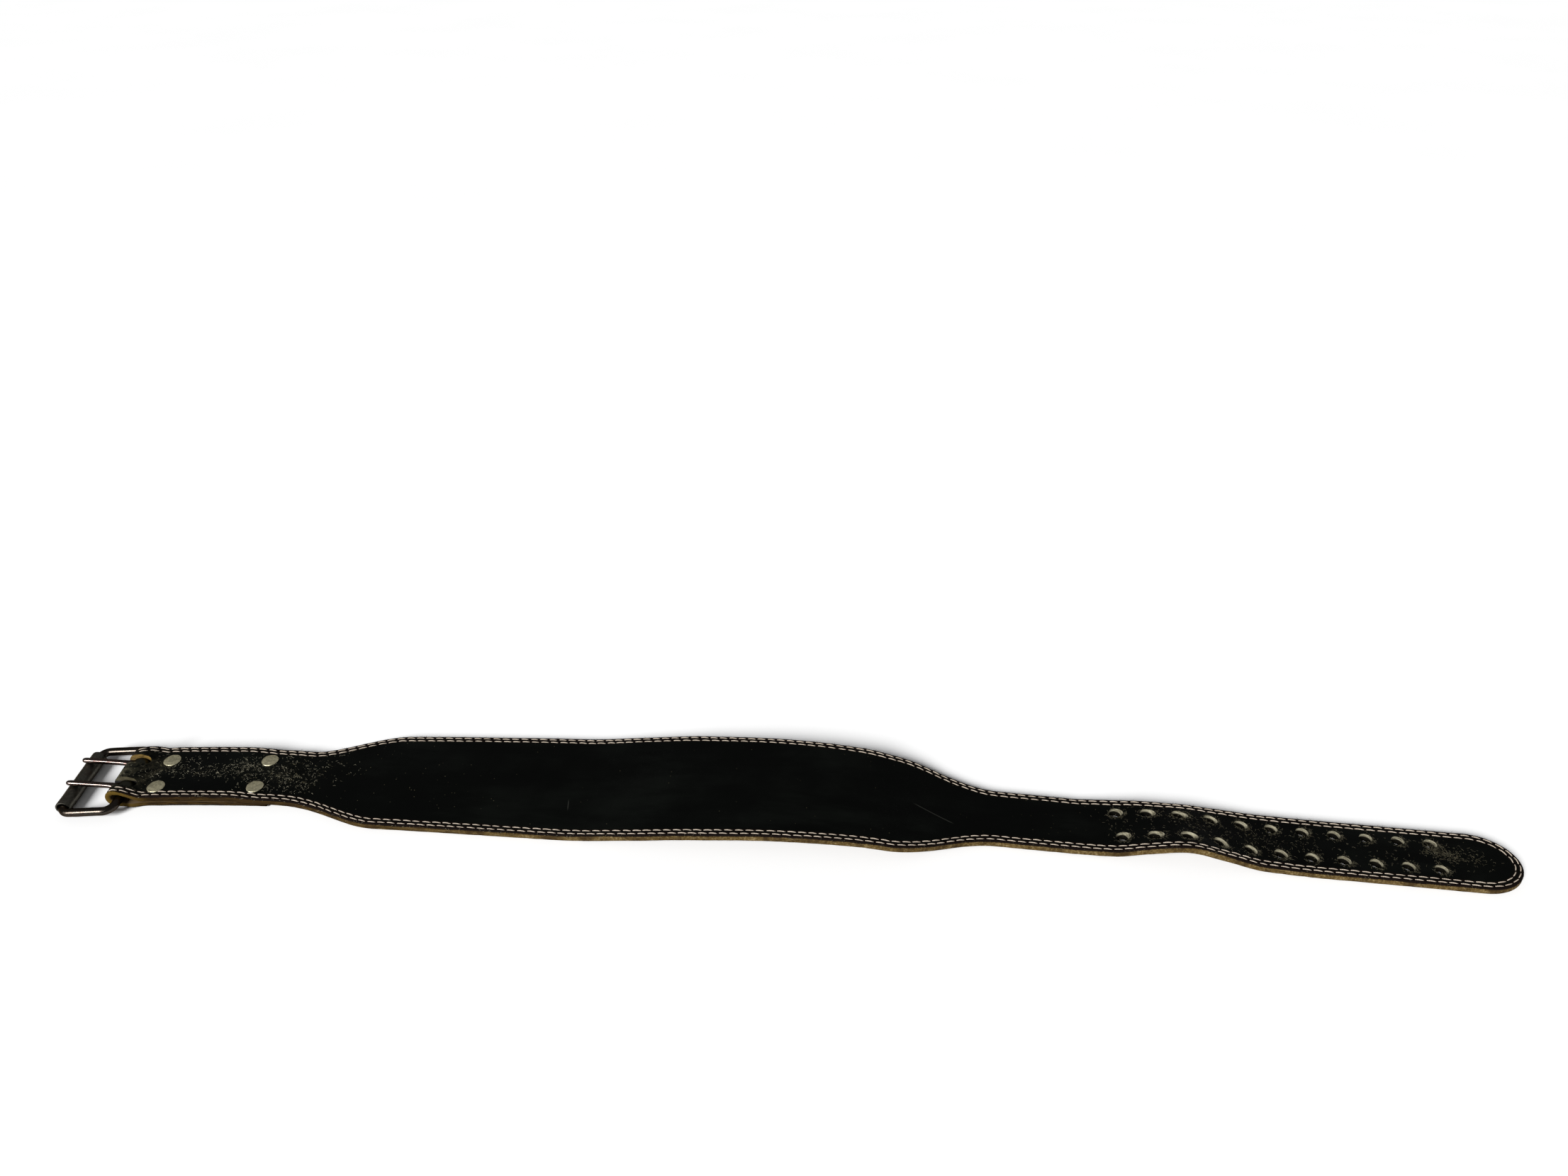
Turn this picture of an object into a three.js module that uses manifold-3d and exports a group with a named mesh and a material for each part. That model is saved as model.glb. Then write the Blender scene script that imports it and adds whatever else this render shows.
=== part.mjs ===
// A worn leather weightlifting belt, unfastened, lying on its inner face.
// Millimetres, +Z up, +X along the belt towards the tongue, +Y towards the upper edge.
// The origin is on the floor, under the middle of the flat stretch that the back rests on.

import * as THREE from 'three';
import { mergeVertices } from 'three/addons/utils/BufferGeometryUtils.js';
import Module from 'manifold-3d';

const manifold = await Module();
manifold.setup();

// Leather, measured along the belt from the outer end of the fold
const backWidth = 101.6;
const buckleEndWidth = 52.3;
const foldWidth = 45;
const foldOffset = -3.5;
const tongueWidth = 49.4;
const frontLength = 123.5;
const flareLength = 70;
const backLength = 348;
const taperLength = 74;
const tongueLength = 336.8;
const tipLength = 29;
const leatherThickness = 5.3;
const foldThickness = 3.7;
const flapThickness = 3.6;
const flapEndThickness = 1.2;
const flapLength = 111;
const flapSkiveLength = 30;
const edgeChamfer = 0.9;
const loopLead = 1.2;
const loopLength = 18;
const narrowLength = 22;
const thinLength = 26;
const settleLength = 26;
const flapLift = 0.3;
const waveHeight = 10;
const restDistance = 263.5;

// Buckle
const wireDiameter = 5.8;
const wireSlack = 0.45;
const frameWidth = 69;
const barSpacing = 35;
const barSetback = 9.2;
const frameCornerRadius = 6.5;
const frameOffset = -5.9;
const frontBarHeight = 5.4;
const rollerDiameter = 10;
const rollerWall = 0.9;
const rollerLength = 53.5;
const prongDiameter = 3.9;
const prongEyeThickness = 2.2;
const prongEyeWidth = 6.6;
const prongEyeTurn = 245;
const prongNeckTurn = 42;
const prongNeckLength = 6.2;
const prongNeckHeight = 2.3;
const prongReach = 3.9;
const prongOffset = -3;

// Holes, slots and rivets
const holeDiameter = 8;
const nearHolePitch = 20.1;
const farHolePitch = 20.4;
const holeRowSpacing = 23;
const holesPerRow = 11;
const lastHoleSetback = 53.6;
const slotClearance = 0.7;
const slotLength = 17.6;
const rivetSpread = 27.4;
const rivetFrontSetback = 31.4;
const rivetFrontOffset = -2.7;
const rivetBackMargin = 11.4;
const rivetBackOffset = -0.7;
const rivetCapDiameter = 11.7;
const rivetCapRise = 1.2;
const rivetShankDiameter = 3.6;
const rivetBackDiameter = 9.6;
const rivetBackThickness = 0.8;

// Clearance between pieces that touch
const gap = 0.3;

const leatherLength = frontLength + flareLength + backLength + taperLength + tongueLength;
const wireRadius = wireDiameter / 2;
const loopRadius = wireRadius + wireSlack;
const barHeight = flapThickness + loopRadius;
const foldSetback = foldThickness + loopRadius;
const prongSpacing = holeRowSpacing + 0.6;

// Width of the back along its length, as shares of backLength and backWidth
const backOutline = [
  { along: 0, width: 0.9 },
  { along: 0.15, width: 0.935 },
  { along: 0.35, width: 0.975 },
  { along: 0.57, width: 1 },
  { along: 0.82, width: 0.965 },
  { along: 1, width: 0.905 },
];

// Sideways bow of the centre line, as shares of leatherLength and backWidth
const bow = [
  { along: 0, aside: -0.184 },
  { along: 0.07, aside: -0.116 },
  { along: 0.14, aside: -0.07 },
  { along: 0.21, aside: -0.028 },
  { along: 0.28, aside: 0 },
  { along: 0.355, aside: 0.023 },
  { along: 0.43, aside: 0.035 },
  { along: 0.51, aside: 0.033 },
  { along: 0.58, aside: 0.011 },
  { along: 0.645, aside: -0.02 },
  { along: 0.72, aside: -0.056 },
  { along: 0.8, aside: -0.088 },
  { along: 0.9, aside: -0.121 },
  { along: 1, aside: -0.155 },
];

// Waves that lift the two edges off the floor, as shares of leatherLength and waveHeight
const waves = [
  { along: 0, near: 0, far: 0 },
  { along: 0.335, near: 0, far: 0 },
  { along: 0.385, near: 0.35, far: 0.35 },
  { along: 0.43, near: 0.75, far: 0.75 },
  { along: 0.495, near: 1.05, far: 1.05 },
  { along: 0.545, near: 0.93, far: 0.93 },
  { along: 0.58, near: 0.6, far: 0.4 },
  { along: 0.61, near: 0.22, far: 0.06 },
  { along: 0.645, near: 0.04, far: 0.02 },
  { along: 0.7, near: 0.1, far: 0.02 },
  { along: 0.725, near: 0.2, far: 0.22 },
  { along: 0.75, near: 0.75, far: 0.38 },
  { along: 0.775, near: 1.18, far: 0.37 },
  { along: 0.8, near: 0.72, far: 0.25 },
  { along: 0.827, near: 0.14, far: 0.1 },
  { along: 0.87, near: 0, far: 0.02 },
  { along: 1, near: 0, far: 0 },
];

// Reads a column of a table at a place, with a smooth curve that never passes its rows
function readTable(rows, column, along) {
  const last = rows.length - 1;
  if (along <= rows[0].along) {
    const slope = (rows[1][column] - rows[0][column]) / (rows[1].along - rows[0].along);
    return rows[0][column] + slope * (along - rows[0].along);
  }
  if (along >= rows[last].along) return rows[last][column];
  const i = rows.findIndex((row) => row.along > along) - 1;
  const rise = (k) => (rows[k + 1][column] - rows[k][column]) / (rows[k + 1].along - rows[k].along);
  const tangent = (k) => {
    if (k === 0) return rise(0);
    if (k === last) return rise(last - 1);
    const before = rise(k - 1);
    const after = rise(k);
    return before * after <= 0 ? 0 : (2 * before * after) / (before + after);
  };
  const span = rows[i + 1].along - rows[i].along;
  const u = (along - rows[i].along) / span;
  const u2 = u * u;
  const u3 = u2 * u;
  return (
    rows[i][column] * (2 * u3 - 3 * u2 + 1) +
    rows[i + 1][column] * (3 * u2 - 2 * u3) +
    tangent(i) * span * (u3 - 2 * u2 + u) +
    tangent(i + 1) * span * (u3 - u2)
  );
}

function ease(u) {
  return THREE.MathUtils.smoothstep(u, 0, 1);
}

const mix = THREE.MathUtils.lerp;

// Half the width of the strap, before the tip is rounded
function halfWidth(s) {
  const backStart = frontLength + flareLength;
  const taperStart = backStart + backLength;
  const backAt = (share) => readTable(backOutline, 'width', share) * backWidth;
  if (s < frontLength) return mix(foldWidth, buckleEndWidth, ease(s / narrowLength)) / 2;
  if (s < backStart) {
    return mix(buckleEndWidth, backAt(0), ease((s - frontLength) / flareLength)) / 2;
  }
  if (s < taperStart) return backAt((s - backStart) / backLength) / 2;
  return mix(backAt(1), tongueWidth, ease((s - taperStart) / taperLength)) / 2;
}

// How far the middle of the leather lies from the centre line, which the fold is cut away from
function middle(s) {
  return mix(foldOffset, 0, ease(s / narrowLength));
}

function centreLine(s) {
  const along = s / leatherLength;
  return new THREE.Vector2(s - restDistance, readTable(bow, 'aside', along) * backWidth);
}

// The surface that the belt's underside follows: s along the belt, t across it
function underside(s, t) {
  const step = 0.5;
  const heading = centreLine(s + step).sub(centreLine(s - step)).normalize();
  const centre = centreLine(s);
  const along = THREE.MathUtils.clamp(s / leatherLength, 0, 1);
  const near = readTable(waves, 'near', along) * waveHeight;
  const far = readTable(waves, 'far', along) * waveHeight;
  return new THREE.Vector3(
    centre.x - t * heading.y,
    centre.y + t * heading.x,
    mix(near, far, 0.5 + t / (2 * halfWidth(s))),
  );
}

// Directions along, across and out of that surface
function directions(s, t) {
  const step = 0.5;
  const along = underside(s + step, t).sub(underside(s - step, t)).normalize();
  const across = underside(s, t + step).sub(underside(s, t - step)).normalize();
  const out = new THREE.Vector3().crossVectors(along, across).normalize();
  across.crossVectors(out, along);
  return { along, across, out };
}

// A point of the flat belt, laid down: s along, t across, h above the underside
function lay(s, t, h) {
  return underside(s, t).addScaledVector(directions(s, t).out, h);
}

function layPlacement(object, s, t, h) {
  const { along, across, out } = directions(s, t);
  object.position.copy(lay(s, t, h));
  object.quaternion.setFromRotationMatrix(new THREE.Matrix4().makeBasis(along, across, out));
  return object;
}

// Closes a run of equal rings into a skin, capped at both ends or joined into a loop
function loft(rings, closed = false) {
  const size = rings[0].length;
  const positions = rings.flatMap((ring) => ring.flatMap((point) => point.toArray()));
  const faces = [];
  const links = closed ? rings.length : rings.length - 1;
  for (let i = 0; i < links; i += 1) {
    const here = i * size;
    const next = ((i + 1) % rings.length) * size;
    for (let j = 0; j < size; j += 1) {
      const k = (j + 1) % size;
      faces.push(here + j, here + k, next + k);
      faces.push(here + j, next + k, next + j);
    }
  }
  if (!closed) {
    const end = (rings.length - 1) * size;
    for (let j = 1; j < size - 1; j += 1) {
      faces.push(0, j + 1, j);
      faces.push(end, end + j, end + j + 1);
    }
  }
  const geometry = new THREE.BufferGeometry();
  geometry.setAttribute('position', new THREE.Float32BufferAttribute(positions, 3));
  geometry.setIndex(faces);
  geometry.computeVertexNormals();
  return geometry;
}

function toSolid(geometry) {
  const bare = geometry.clone();
  bare.deleteAttribute('normal');
  bare.deleteAttribute('uv');
  const merged = mergeVertices(bare, 1e-4);
  return new manifold.Manifold(
    new manifold.Mesh({
      numProp: 3,
      vertProperties: new Float32Array(merged.attributes.position.array),
      triVerts: new Uint32Array(merged.index.array),
    }),
  );
}

function toGeometry(solid) {
  const mesh = solid.getMesh();
  const geometry = new THREE.BufferGeometry();
  geometry.setAttribute('position', new THREE.Float32BufferAttribute(mesh.vertProperties, 3));
  geometry.setIndex([...mesh.triVerts]);
  geometry.computeVertexNormals();
  return geometry;
}

function stations(from, to, step) {
  const count = Math.max(1, Math.ceil(Math.abs(to - from) / step));
  return Array.from({ length: count }, (_, i) => mix(from, to, i / count));
}

// Thickness of the flap, thinned towards its end so that it leaves no step
function flapDepth(s) {
  return mix(flapThickness, flapEndThickness, ease((s - flapLength) / flapSkiveLength + 1));
}

// How far the loop round the bar has closed: 0 at the bar, 1 where the layers meet
function loopClosed(s) {
  return ease((s - barSetback + loopLead) / loopLength);
}

function flapBottom(s) {
  return flapLift * loopClosed(s);
}

function flapTop(s) {
  return flapBottom(s) + flapDepth(s);
}

function strapThickness(s) {
  return mix(foldThickness, leatherThickness, ease((s - barSetback) / thinLength));
}

// The strap runs over the bar, then down to the flap, then down to the floor
function strapUnderside(s) {
  if (s > flapLength) {
    return mix(flapTop(flapLength) + gap, 0, ease((s - flapLength) / settleLength));
  }
  const opening = 2 * loopRadius * (1 - loopClosed(s));
  return flapTop(s) + Math.max(opening, gap);
}

function strapTop(s) {
  return strapUnderside(s) + strapThickness(s);
}

// One ring of the strap between a flesh point and a grain point of the flat side view.
// place(inset) gives the position along and half the width there, inset from the outline.
function strapRing(flesh, grain, place) {
  const thickness = flesh.distanceTo(grain);
  const chamferShare = edgeChamfer / thickness;
  const corners = [
    { inset: edgeChamfer, share: 0 },
    { inset: 0, share: chamferShare },
    { inset: 0, share: 1 - chamferShare },
    { inset: edgeChamfer, share: 1 },
  ];
  const point = ({ inset, share }, side) => {
    const { shift, half } = place(inset);
    const s = mix(flesh.x, grain.x, share) + shift;
    return lay(s, middle(s) + side * half, mix(flesh.y, grain.y, share));
  };
  const nearSide = corners.map((corner) => point(corner, -1)).reverse();
  const farSide = corners.map((corner) => point(corner, 1));
  return [...nearSide, ...farSide];
}

function straightRing(flesh, grain) {
  const half = halfWidth((flesh.x + grain.x) / 2);
  return strapRing(flesh, grain, (inset) => ({ shift: 0, half: half - inset }));
}

// The rings of the round tip keep their distance from the outline, which is a half ellipse
function tipRing(turn) {
  const s = leatherLength - tipLength;
  const flesh = new THREE.Vector2(s, strapUnderside(s));
  const grain = new THREE.Vector2(s, strapTop(s));
  const half = halfWidth(s);
  return strapRing(flesh, grain, (inset) => ({
    shift: (tipLength - inset) * Math.sin(turn),
    half: (half - inset) * Math.cos(turn),
  }));
}

function leatherStrap() {
  const tipStart = leatherLength - tipLength;
  const loopEnd = barSetback + loopLength;
  const flapStations = [
    ...stations(flapLength, loopEnd, 9),
    ...stations(loopEnd, foldSetback, 2.4),
  ];
  const strapStations = [
    ...stations(foldSetback, loopEnd, 2.4),
    ...stations(loopEnd, flapLength, 9),
    ...stations(flapLength, flapLength + settleLength, 7),
    ...stations(flapLength + settleLength, tipStart, 10),
  ];
  const foldTurns = 12;
  const tipTurns = 11;
  const tipLastTurn = THREE.MathUtils.degToRad(84);
  const rings = [];
  for (const s of flapStations) {
    rings.push(straightRing(new THREE.Vector2(s, flapTop(s)), new THREE.Vector2(s, flapBottom(s))));
  }
  for (let i = 0; i < foldTurns; i += 1) {
    const angle = -Math.PI / 2 - (Math.PI * i) / foldTurns;
    const outward = new THREE.Vector2(Math.cos(angle), Math.sin(angle));
    const thickness = mix(flapThickness, foldThickness, ease(i / foldTurns));
    const bend = new THREE.Vector2(foldSetback, barHeight);
    const flesh = bend.clone().addScaledVector(outward, loopRadius);
    const grain = bend.clone().addScaledVector(outward, loopRadius + thickness);
    rings.push(straightRing(flesh, grain));
  }
  for (const s of strapStations) {
    const flesh = new THREE.Vector2(s, strapUnderside(s));
    rings.push(straightRing(flesh, new THREE.Vector2(s, strapTop(s))));
  }
  for (let i = 0; i <= tipTurns; i += 1) rings.push(tipRing((tipLastTurn * i) / tipTurns));
  return loft(rings);
}

// A cutter that stands on the laid belt, from a flat outline drawn in s and t
function laidCutter(shape, low, high, curveSegments) {
  const options = { depth: high - low, bevelEnabled: false, curveSegments };
  const geometry = new THREE.ExtrudeGeometry(shape, options);
  const place = geometry.attributes.position;
  for (let i = 0; i < place.count; i += 1) {
    const point = lay(place.getX(i), place.getY(i), place.getZ(i) + low);
    place.setXYZ(i, point.x, point.y, point.z);
  }
  return toSolid(geometry);
}

function disc(s, t, diameter) {
  const shape = new THREE.Shape();
  shape.absarc(s, t, diameter / 2, 0, 2 * Math.PI, false);
  return shape;
}

// Slot through both layers of the fold, open at the fold's end, round at the other
function slotOutline(t, width) {
  const half = width / 2;
  const open = -foldSetback;
  const shape = new THREE.Shape();
  shape.moveTo(open, t - half);
  shape.lineTo(slotLength - half, t - half);
  shape.absarc(slotLength - half, t, half, -Math.PI / 2, Math.PI / 2, false);
  shape.lineTo(open, t + half);
  shape.closePath();
  return shape;
}

const sides = [
  { name: 'near', sign: -1, holePitch: nearHolePitch },
  { name: 'far', sign: 1, holePitch: farHolePitch },
];

function holeCutters() {
  const over = 3;
  const cutters = [];
  for (const { sign, holePitch } of sides) {
    for (let i = 0; i < holesPerRow; i += 1) {
      const s = leatherLength - lastHoleSetback - i * holePitch;
      const outline = disc(s, (sign * holeRowSpacing) / 2, holeDiameter);
      cutters.push(laidCutter(outline, -over, leatherThickness + over, 8));
    }
  }
  return cutters;
}

function slotCutters() {
  const over = 3;
  const width = prongEyeWidth + 2 * slotClearance;
  return sides.map(({ sign }) => {
    const t = prongOffset + (sign * prongSpacing) / 2;
    return laidCutter(slotOutline(t, width), -over, strapTop(barSetback) + over, 6);
  });
}

const rivetPlaces = [
  { name: 'front', s: rivetFrontSetback, offset: rivetFrontOffset },
  { name: 'back', s: flapLength - rivetBackMargin, offset: rivetBackOffset },
].flatMap((row) =>
  sides.map(({ name, sign }) => ({
    name: `rivet_${name}_${row.name}`,
    s: row.s,
    t: row.offset + (sign * rivetSpread) / 2,
  })),
);

// The head and the back of a rivet sink this far into the leather
const rivetSink = 0.3;

function rivetCutters() {
  const over = 3;
  const margin = 2 * gap;
  return rivetPlaces.flatMap(({ s, t }) => {
    const low = flapBottom(s);
    const high = strapTop(s);
    const backDepth = rivetBackThickness + rivetSink + gap;
    return [
      laidCutter(disc(s, t, rivetShankDiameter + margin), low - over, high + over, 8),
      laidCutter(disc(s, t, rivetCapDiameter + margin), high - rivetSink - gap, high + over, 11),
      laidCutter(disc(s, t, rivetBackDiameter + margin), low - over, low + backDepth, 11),
    ];
  });
}

function leatherGeometry() {
  const cutters = [...holeCutters(), ...slotCutters(), ...rivetCutters()];
  const strap = toSolid(leatherStrap());
  return toGeometry(cutters.reduce((solid, cutter) => solid.subtract(cutter), strap));
}

// A rod along a flat path, with an oval section of its own size at each point.
// normal is the direction square to the plane that the path lies in.
function rod(path, normal, facets, closed = false) {
  const last = path.length - 1;
  const rings = path.map(({ at, thick, wide }, i) => {
    const before = path[i === 0 ? (closed ? last : 0) : i - 1].at;
    const after = path[i === last ? (closed ? 0 : last) : i + 1].at;
    const heading = after.clone().sub(before).normalize();
    const inward = new THREE.Vector3().crossVectors(normal, heading);
    return Array.from({ length: facets }, (_, k) => {
      const angle = (2 * Math.PI * k) / facets;
      return at
        .clone()
        .addScaledVector(inward, (Math.cos(angle) * thick) / 2)
        .addScaledVector(normal, (Math.sin(angle) * wide) / 2);
    });
  });
  return loft(rings, closed);
}

// The frame's wire, seen from above in the plane of the frame, with the rear bar on the Y axis
function frameGeometry() {
  const half = (frameWidth - wireDiameter) / 2;
  const r = frameCornerRadius;
  const corners = [
    { x: -r, y: half - r, start: 0 },
    { x: -barSpacing + r, y: half - r, start: 90 },
    { x: -barSpacing + r, y: -half + r, start: 180 },
    { x: -r, y: -half + r, start: 270 },
  ];
  const turns = 6;
  const path = corners.flatMap(({ x, y, start }) =>
    Array.from({ length: turns + 1 }, (_, i) => {
      const angle = THREE.MathUtils.degToRad(start + (90 * i) / turns);
      const at = new THREE.Vector3(x + r * Math.cos(angle), y + r * Math.sin(angle), 0);
      return { at, thick: wireDiameter, wide: wireDiameter };
    }),
  );
  return rod(path, new THREE.Vector3(0, 0, 1), 12, true);
}

function rollerGeometry() {
  const outer = rollerDiameter / 2;
  const inner = outer - rollerWall;
  const half = rollerLength / 2;
  const profile = [
    [inner, -half],
    [outer, -half],
    [outer, half],
    [inner, half],
    [inner, -half],
  ].map(([radius, height]) => new THREE.Vector2(radius, height));
  return new THREE.LatheGeometry(profile, 28);
}

// Side view of a prong: an eye round the rear bar at the origin, a neck, and a shank whose
// end lies on the roller
function prongGeometry(rollerCentre) {
  const eyeRadius = wireRadius + gap + prongEyeThickness / 2;
  const tipX = rollerCentre.x - prongReach;
  const restZ = rollerCentre.z + rollerDiameter / 2 + gap + prongDiameter / 2;
  const root = new THREE.Vector3(-prongNeckLength, 0, prongNeckHeight);
  const slope = Math.atan2(restZ - root.z, root.x - rollerCentre.x);
  const path = [];
  const eyeSteps = 15;
  for (let i = 0; i <= eyeSteps; i += 1) {
    const turn = THREE.MathUtils.degToRad(mix(prongEyeTurn, -prongNeckTurn, i / eyeSteps));
    path.push({
      at: new THREE.Vector3(eyeRadius * Math.sin(turn), 0, eyeRadius * Math.cos(turn)),
      thick: prongEyeThickness,
      wide: prongEyeWidth,
    });
  }
  const shankHeading = new THREE.Vector3(-Math.cos(slope), 0, Math.sin(slope));
  const shankLength = (root.x - tipX) / Math.cos(slope);
  const shank = [
    { along: -0.035, thick: 0.68, wide: 1.5 },
    { along: 0.04, thick: 0.85, wide: 1.25 },
    { along: 0.13, thick: 1, wide: 1.05 },
    { along: 0.5, thick: 1, wide: 1 },
    { along: 0.92, thick: 1, wide: 1 },
    { along: 0.97, thick: 0.84, wide: 0.84 },
    { along: 0.992, thick: 0.54, wide: 0.54 },
    { along: 1, thick: 0.25, wide: 0.25 },
  ];
  for (const { along, thick, wide } of shank) {
    path.push({
      at: root.clone().addScaledVector(shankHeading, along * shankLength),
      thick: thick * prongDiameter,
      wide: wide * prongDiameter,
    });
  }
  return rod(path, new THREE.Vector3(0, 1, 0), 10);
}

// Section of a rivet from its back disc up through the shank to the domed head
function rivetGeometry(stack) {
  const backTop = rivetSink + rivetBackThickness;
  const headBottom = stack - rivetSink;
  const headTop = stack + rivetCapRise;
  const back = rivetBackDiameter / 2;
  const head = rivetCapDiameter / 2;
  const shank = rivetShankDiameter / 2;
  const profile = [
    [0, rivetSink],
    [back, rivetSink],
    [back, backTop],
    [shank, backTop],
    [shank, headBottom],
    [head, headBottom],
    [head, mix(headBottom, headTop, 0.35)],
    [head * 0.93, mix(headBottom, headTop, 0.62)],
    [head * 0.75, mix(headBottom, headTop, 0.86)],
    [head * 0.4, mix(headBottom, headTop, 0.97)],
    [0, headTop],
  ].map(([radius, height]) => new THREE.Vector2(radius, height));
  const geometry = new THREE.LatheGeometry(profile, 22);
  geometry.rotateX(Math.PI / 2);
  return geometry;
}

function material(color, roughness, metalness) {
  return new THREE.MeshStandardMaterial({ color, roughness, metalness });
}

const finishes = {
  leather: () => material(0x17191a, 0.55, 0),
  frameSteel: () => material(0x5c5650, 0.4, 1),
  rollerSteel: () => material(0x474841, 0.5, 1),
  prongSteel: () => material(0x8c7f7a, 0.3, 1),
  rivetNickel: () => material(0xbfbd9d, 0.35, 1),
};

function piece(name, geometry, finish) {
  const mesh = new THREE.Mesh(geometry, finish());
  mesh.name = name;
  return mesh;
}

// The buckle hangs on the fold: the rear bar's axis is the Y axis of its group
function buckle() {
  const group = layPlacement(new THREE.Group(), barSetback, 0, barHeight);
  const drop = barHeight - frontBarHeight;
  const tilt = Math.asin(drop / barSpacing);
  const frame = piece('buckle_frame', frameGeometry(), finishes.frameSteel);
  frame.rotation.y = -tilt;
  frame.position.y = frameOffset;

  // The roller lies on the floor, as far forward as the bends at the bar's ends let it
  const straight = (frameWidth - wireDiameter) / 2 - frameCornerRadius;
  const overhang = Math.max(0, rollerLength / 2 - straight);
  const bend = (overhang * overhang) / (2 * frameCornerRadius);
  const slack = rollerDiameter / 2 - rollerWall - wireRadius - gap - bend;
  const sag = frontBarHeight - rollerDiameter / 2;
  const forward = Math.sqrt(slack * slack - sag * sag);
  const rollerCentre = new THREE.Vector3(
    -barSpacing * Math.cos(tilt) - forward,
    frameOffset,
    rollerDiameter / 2 - barHeight,
  );
  const roller = piece('roller', rollerGeometry(), finishes.rollerSteel);
  roller.position.copy(rollerCentre);
  group.add(frame, roller);

  for (const { name, sign } of sides) {
    const prong = piece(`prong_${name}`, prongGeometry(rollerCentre), finishes.prongSteel);
    prong.position.y = prongOffset + (sign * prongSpacing) / 2;
    group.add(prong);
  }
  return group;
}

function rivets() {
  const group = new THREE.Group();
  for (const { name, s, t } of rivetPlaces) {
    const stack = strapTop(s) - flapBottom(s);
    const rivet = piece(name, rivetGeometry(stack), finishes.rivetNickel);
    group.add(layPlacement(rivet, s, t, flapBottom(s)));
  }
  return group;
}

const belt = new THREE.Group();
belt.add(piece('leather', leatherGeometry(), finishes.leather), buckle(), rivets());

export default belt;
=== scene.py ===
"""A worn leather weightlifting belt, unfastened, lying on its inner face on a pale floor."""

import math
import random
from bisect import bisect_right
from functools import lru_cache, reduce

import bmesh
import bpy
from mathutils import Euler, Matrix, Vector, noise


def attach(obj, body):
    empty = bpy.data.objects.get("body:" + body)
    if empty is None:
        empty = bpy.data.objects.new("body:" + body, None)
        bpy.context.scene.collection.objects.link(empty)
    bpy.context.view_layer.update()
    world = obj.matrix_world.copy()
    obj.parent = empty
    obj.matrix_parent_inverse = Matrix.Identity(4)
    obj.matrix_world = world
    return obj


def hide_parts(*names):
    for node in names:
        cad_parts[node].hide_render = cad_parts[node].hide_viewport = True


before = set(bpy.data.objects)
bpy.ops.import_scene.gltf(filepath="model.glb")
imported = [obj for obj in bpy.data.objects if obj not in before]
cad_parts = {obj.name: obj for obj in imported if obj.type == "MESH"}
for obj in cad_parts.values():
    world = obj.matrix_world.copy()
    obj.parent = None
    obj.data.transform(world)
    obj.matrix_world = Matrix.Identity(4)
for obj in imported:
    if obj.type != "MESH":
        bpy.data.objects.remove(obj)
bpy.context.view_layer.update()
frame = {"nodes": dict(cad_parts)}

bl_info = {
    "name": "Weightlifting Belt",
    "version": (1, 0, 0),
    "blender": (4, 5, 0),
    "location": "3D View > Sidebar > Belt",
    "description": "Builds a worn leather weightlifting belt with its roller buckle",
    "category": "Add Mesh",
}

MM = 0.001

# Leather, in millimetres, measured along the belt from the outer end of the fold
BACK_WIDTH = 101.6
BUCKLE_END_WIDTH = 52.3
FOLD_WIDTH = 45
FOLD_OFFSET = -3.5
TONGUE_WIDTH = 49.4
FRONT_LENGTH = 123.5
FLARE_LENGTH = 70
BACK_LENGTH = 348
TAPER_LENGTH = 74
TONGUE_LENGTH = 336.8
TIP_LENGTH = 29
LEATHER_THICKNESS = 5.3
FOLD_THICKNESS = 3.7
FLAP_THICKNESS = 3.6
FLAP_END_THICKNESS = 1.2
FLAP_LENGTH = 111
FLAP_SKIVE_LENGTH = 30
LOOP_LEAD = 1.2
LOOP_LENGTH = 18
NARROW_LENGTH = 22
THIN_LENGTH = 26
SETTLE_LENGTH = 26
FLAP_LIFT = 0.3
WAVE_HEIGHT = 10
REST_DISTANCE = 263.5
GAP = 0.3

# Buckle
WIRE_DIAMETER = 5.8
WIRE_SLACK = 0.45
FRAME_WIDTH = 69
BAR_SPACING = 35
BAR_SETBACK = 9.2
FRAME_CORNER_RADIUS = 6.5
FRAME_OFFSET = -5.9
FRONT_BAR_HEIGHT = 5.4
ROLLER_DIAMETER = 10
ROLLER_WALL = 0.9
ROLLER_LENGTH = 53.5
PRONG_DIAMETER = 3.9
PRONG_EYE_THICKNESS = 2.2
PRONG_EYE_WIDTH = 6.6
PRONG_EYE_TURN = 245
PRONG_NECK_TURN = 42
PRONG_NECK_LENGTH = 6.2
PRONG_NECK_HEIGHT = 2.3
PRONG_REACH = 3.9
PRONG_OFFSET = -3
PRONG_FACETS = 24
EYE_STOPS = 31

# Holes, slots and rivets
HOLE_DIAMETER = 8
NEAR_HOLE_PITCH = 20.1
FAR_HOLE_PITCH = 20.4
HOLE_ROW_SPACING = 23
HOLES_PER_ROW = 11
LAST_HOLE_SETBACK = 53.6
SLOT_CLEARANCE = 0.7
SLOT_LENGTH = 17.6
RIVET_SPREAD = 27.4
RIVET_FRONT_SETBACK = 31.4
RIVET_FRONT_OFFSET = -2.7
RIVET_BACK_MARGIN = 11.4
RIVET_BACK_OFFSET = -0.7
RIVET_CAP_DIAMETER = 11.7
RIVET_BACK_DIAMETER = 9.6

LEATHER_LENGTH = FRONT_LENGTH + FLARE_LENGTH + BACK_LENGTH + TAPER_LENGTH + TONGUE_LENGTH
WIRE_RADIUS = WIRE_DIAMETER / 2
LOOP_RADIUS = WIRE_RADIUS + WIRE_SLACK
BAR_HEIGHT = FLAP_THICKNESS + LOOP_RADIUS
FOLD_SETBACK = FOLD_THICKNESS + LOOP_RADIUS
PRONG_SPACING = HOLE_ROW_SPACING + 0.6

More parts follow.
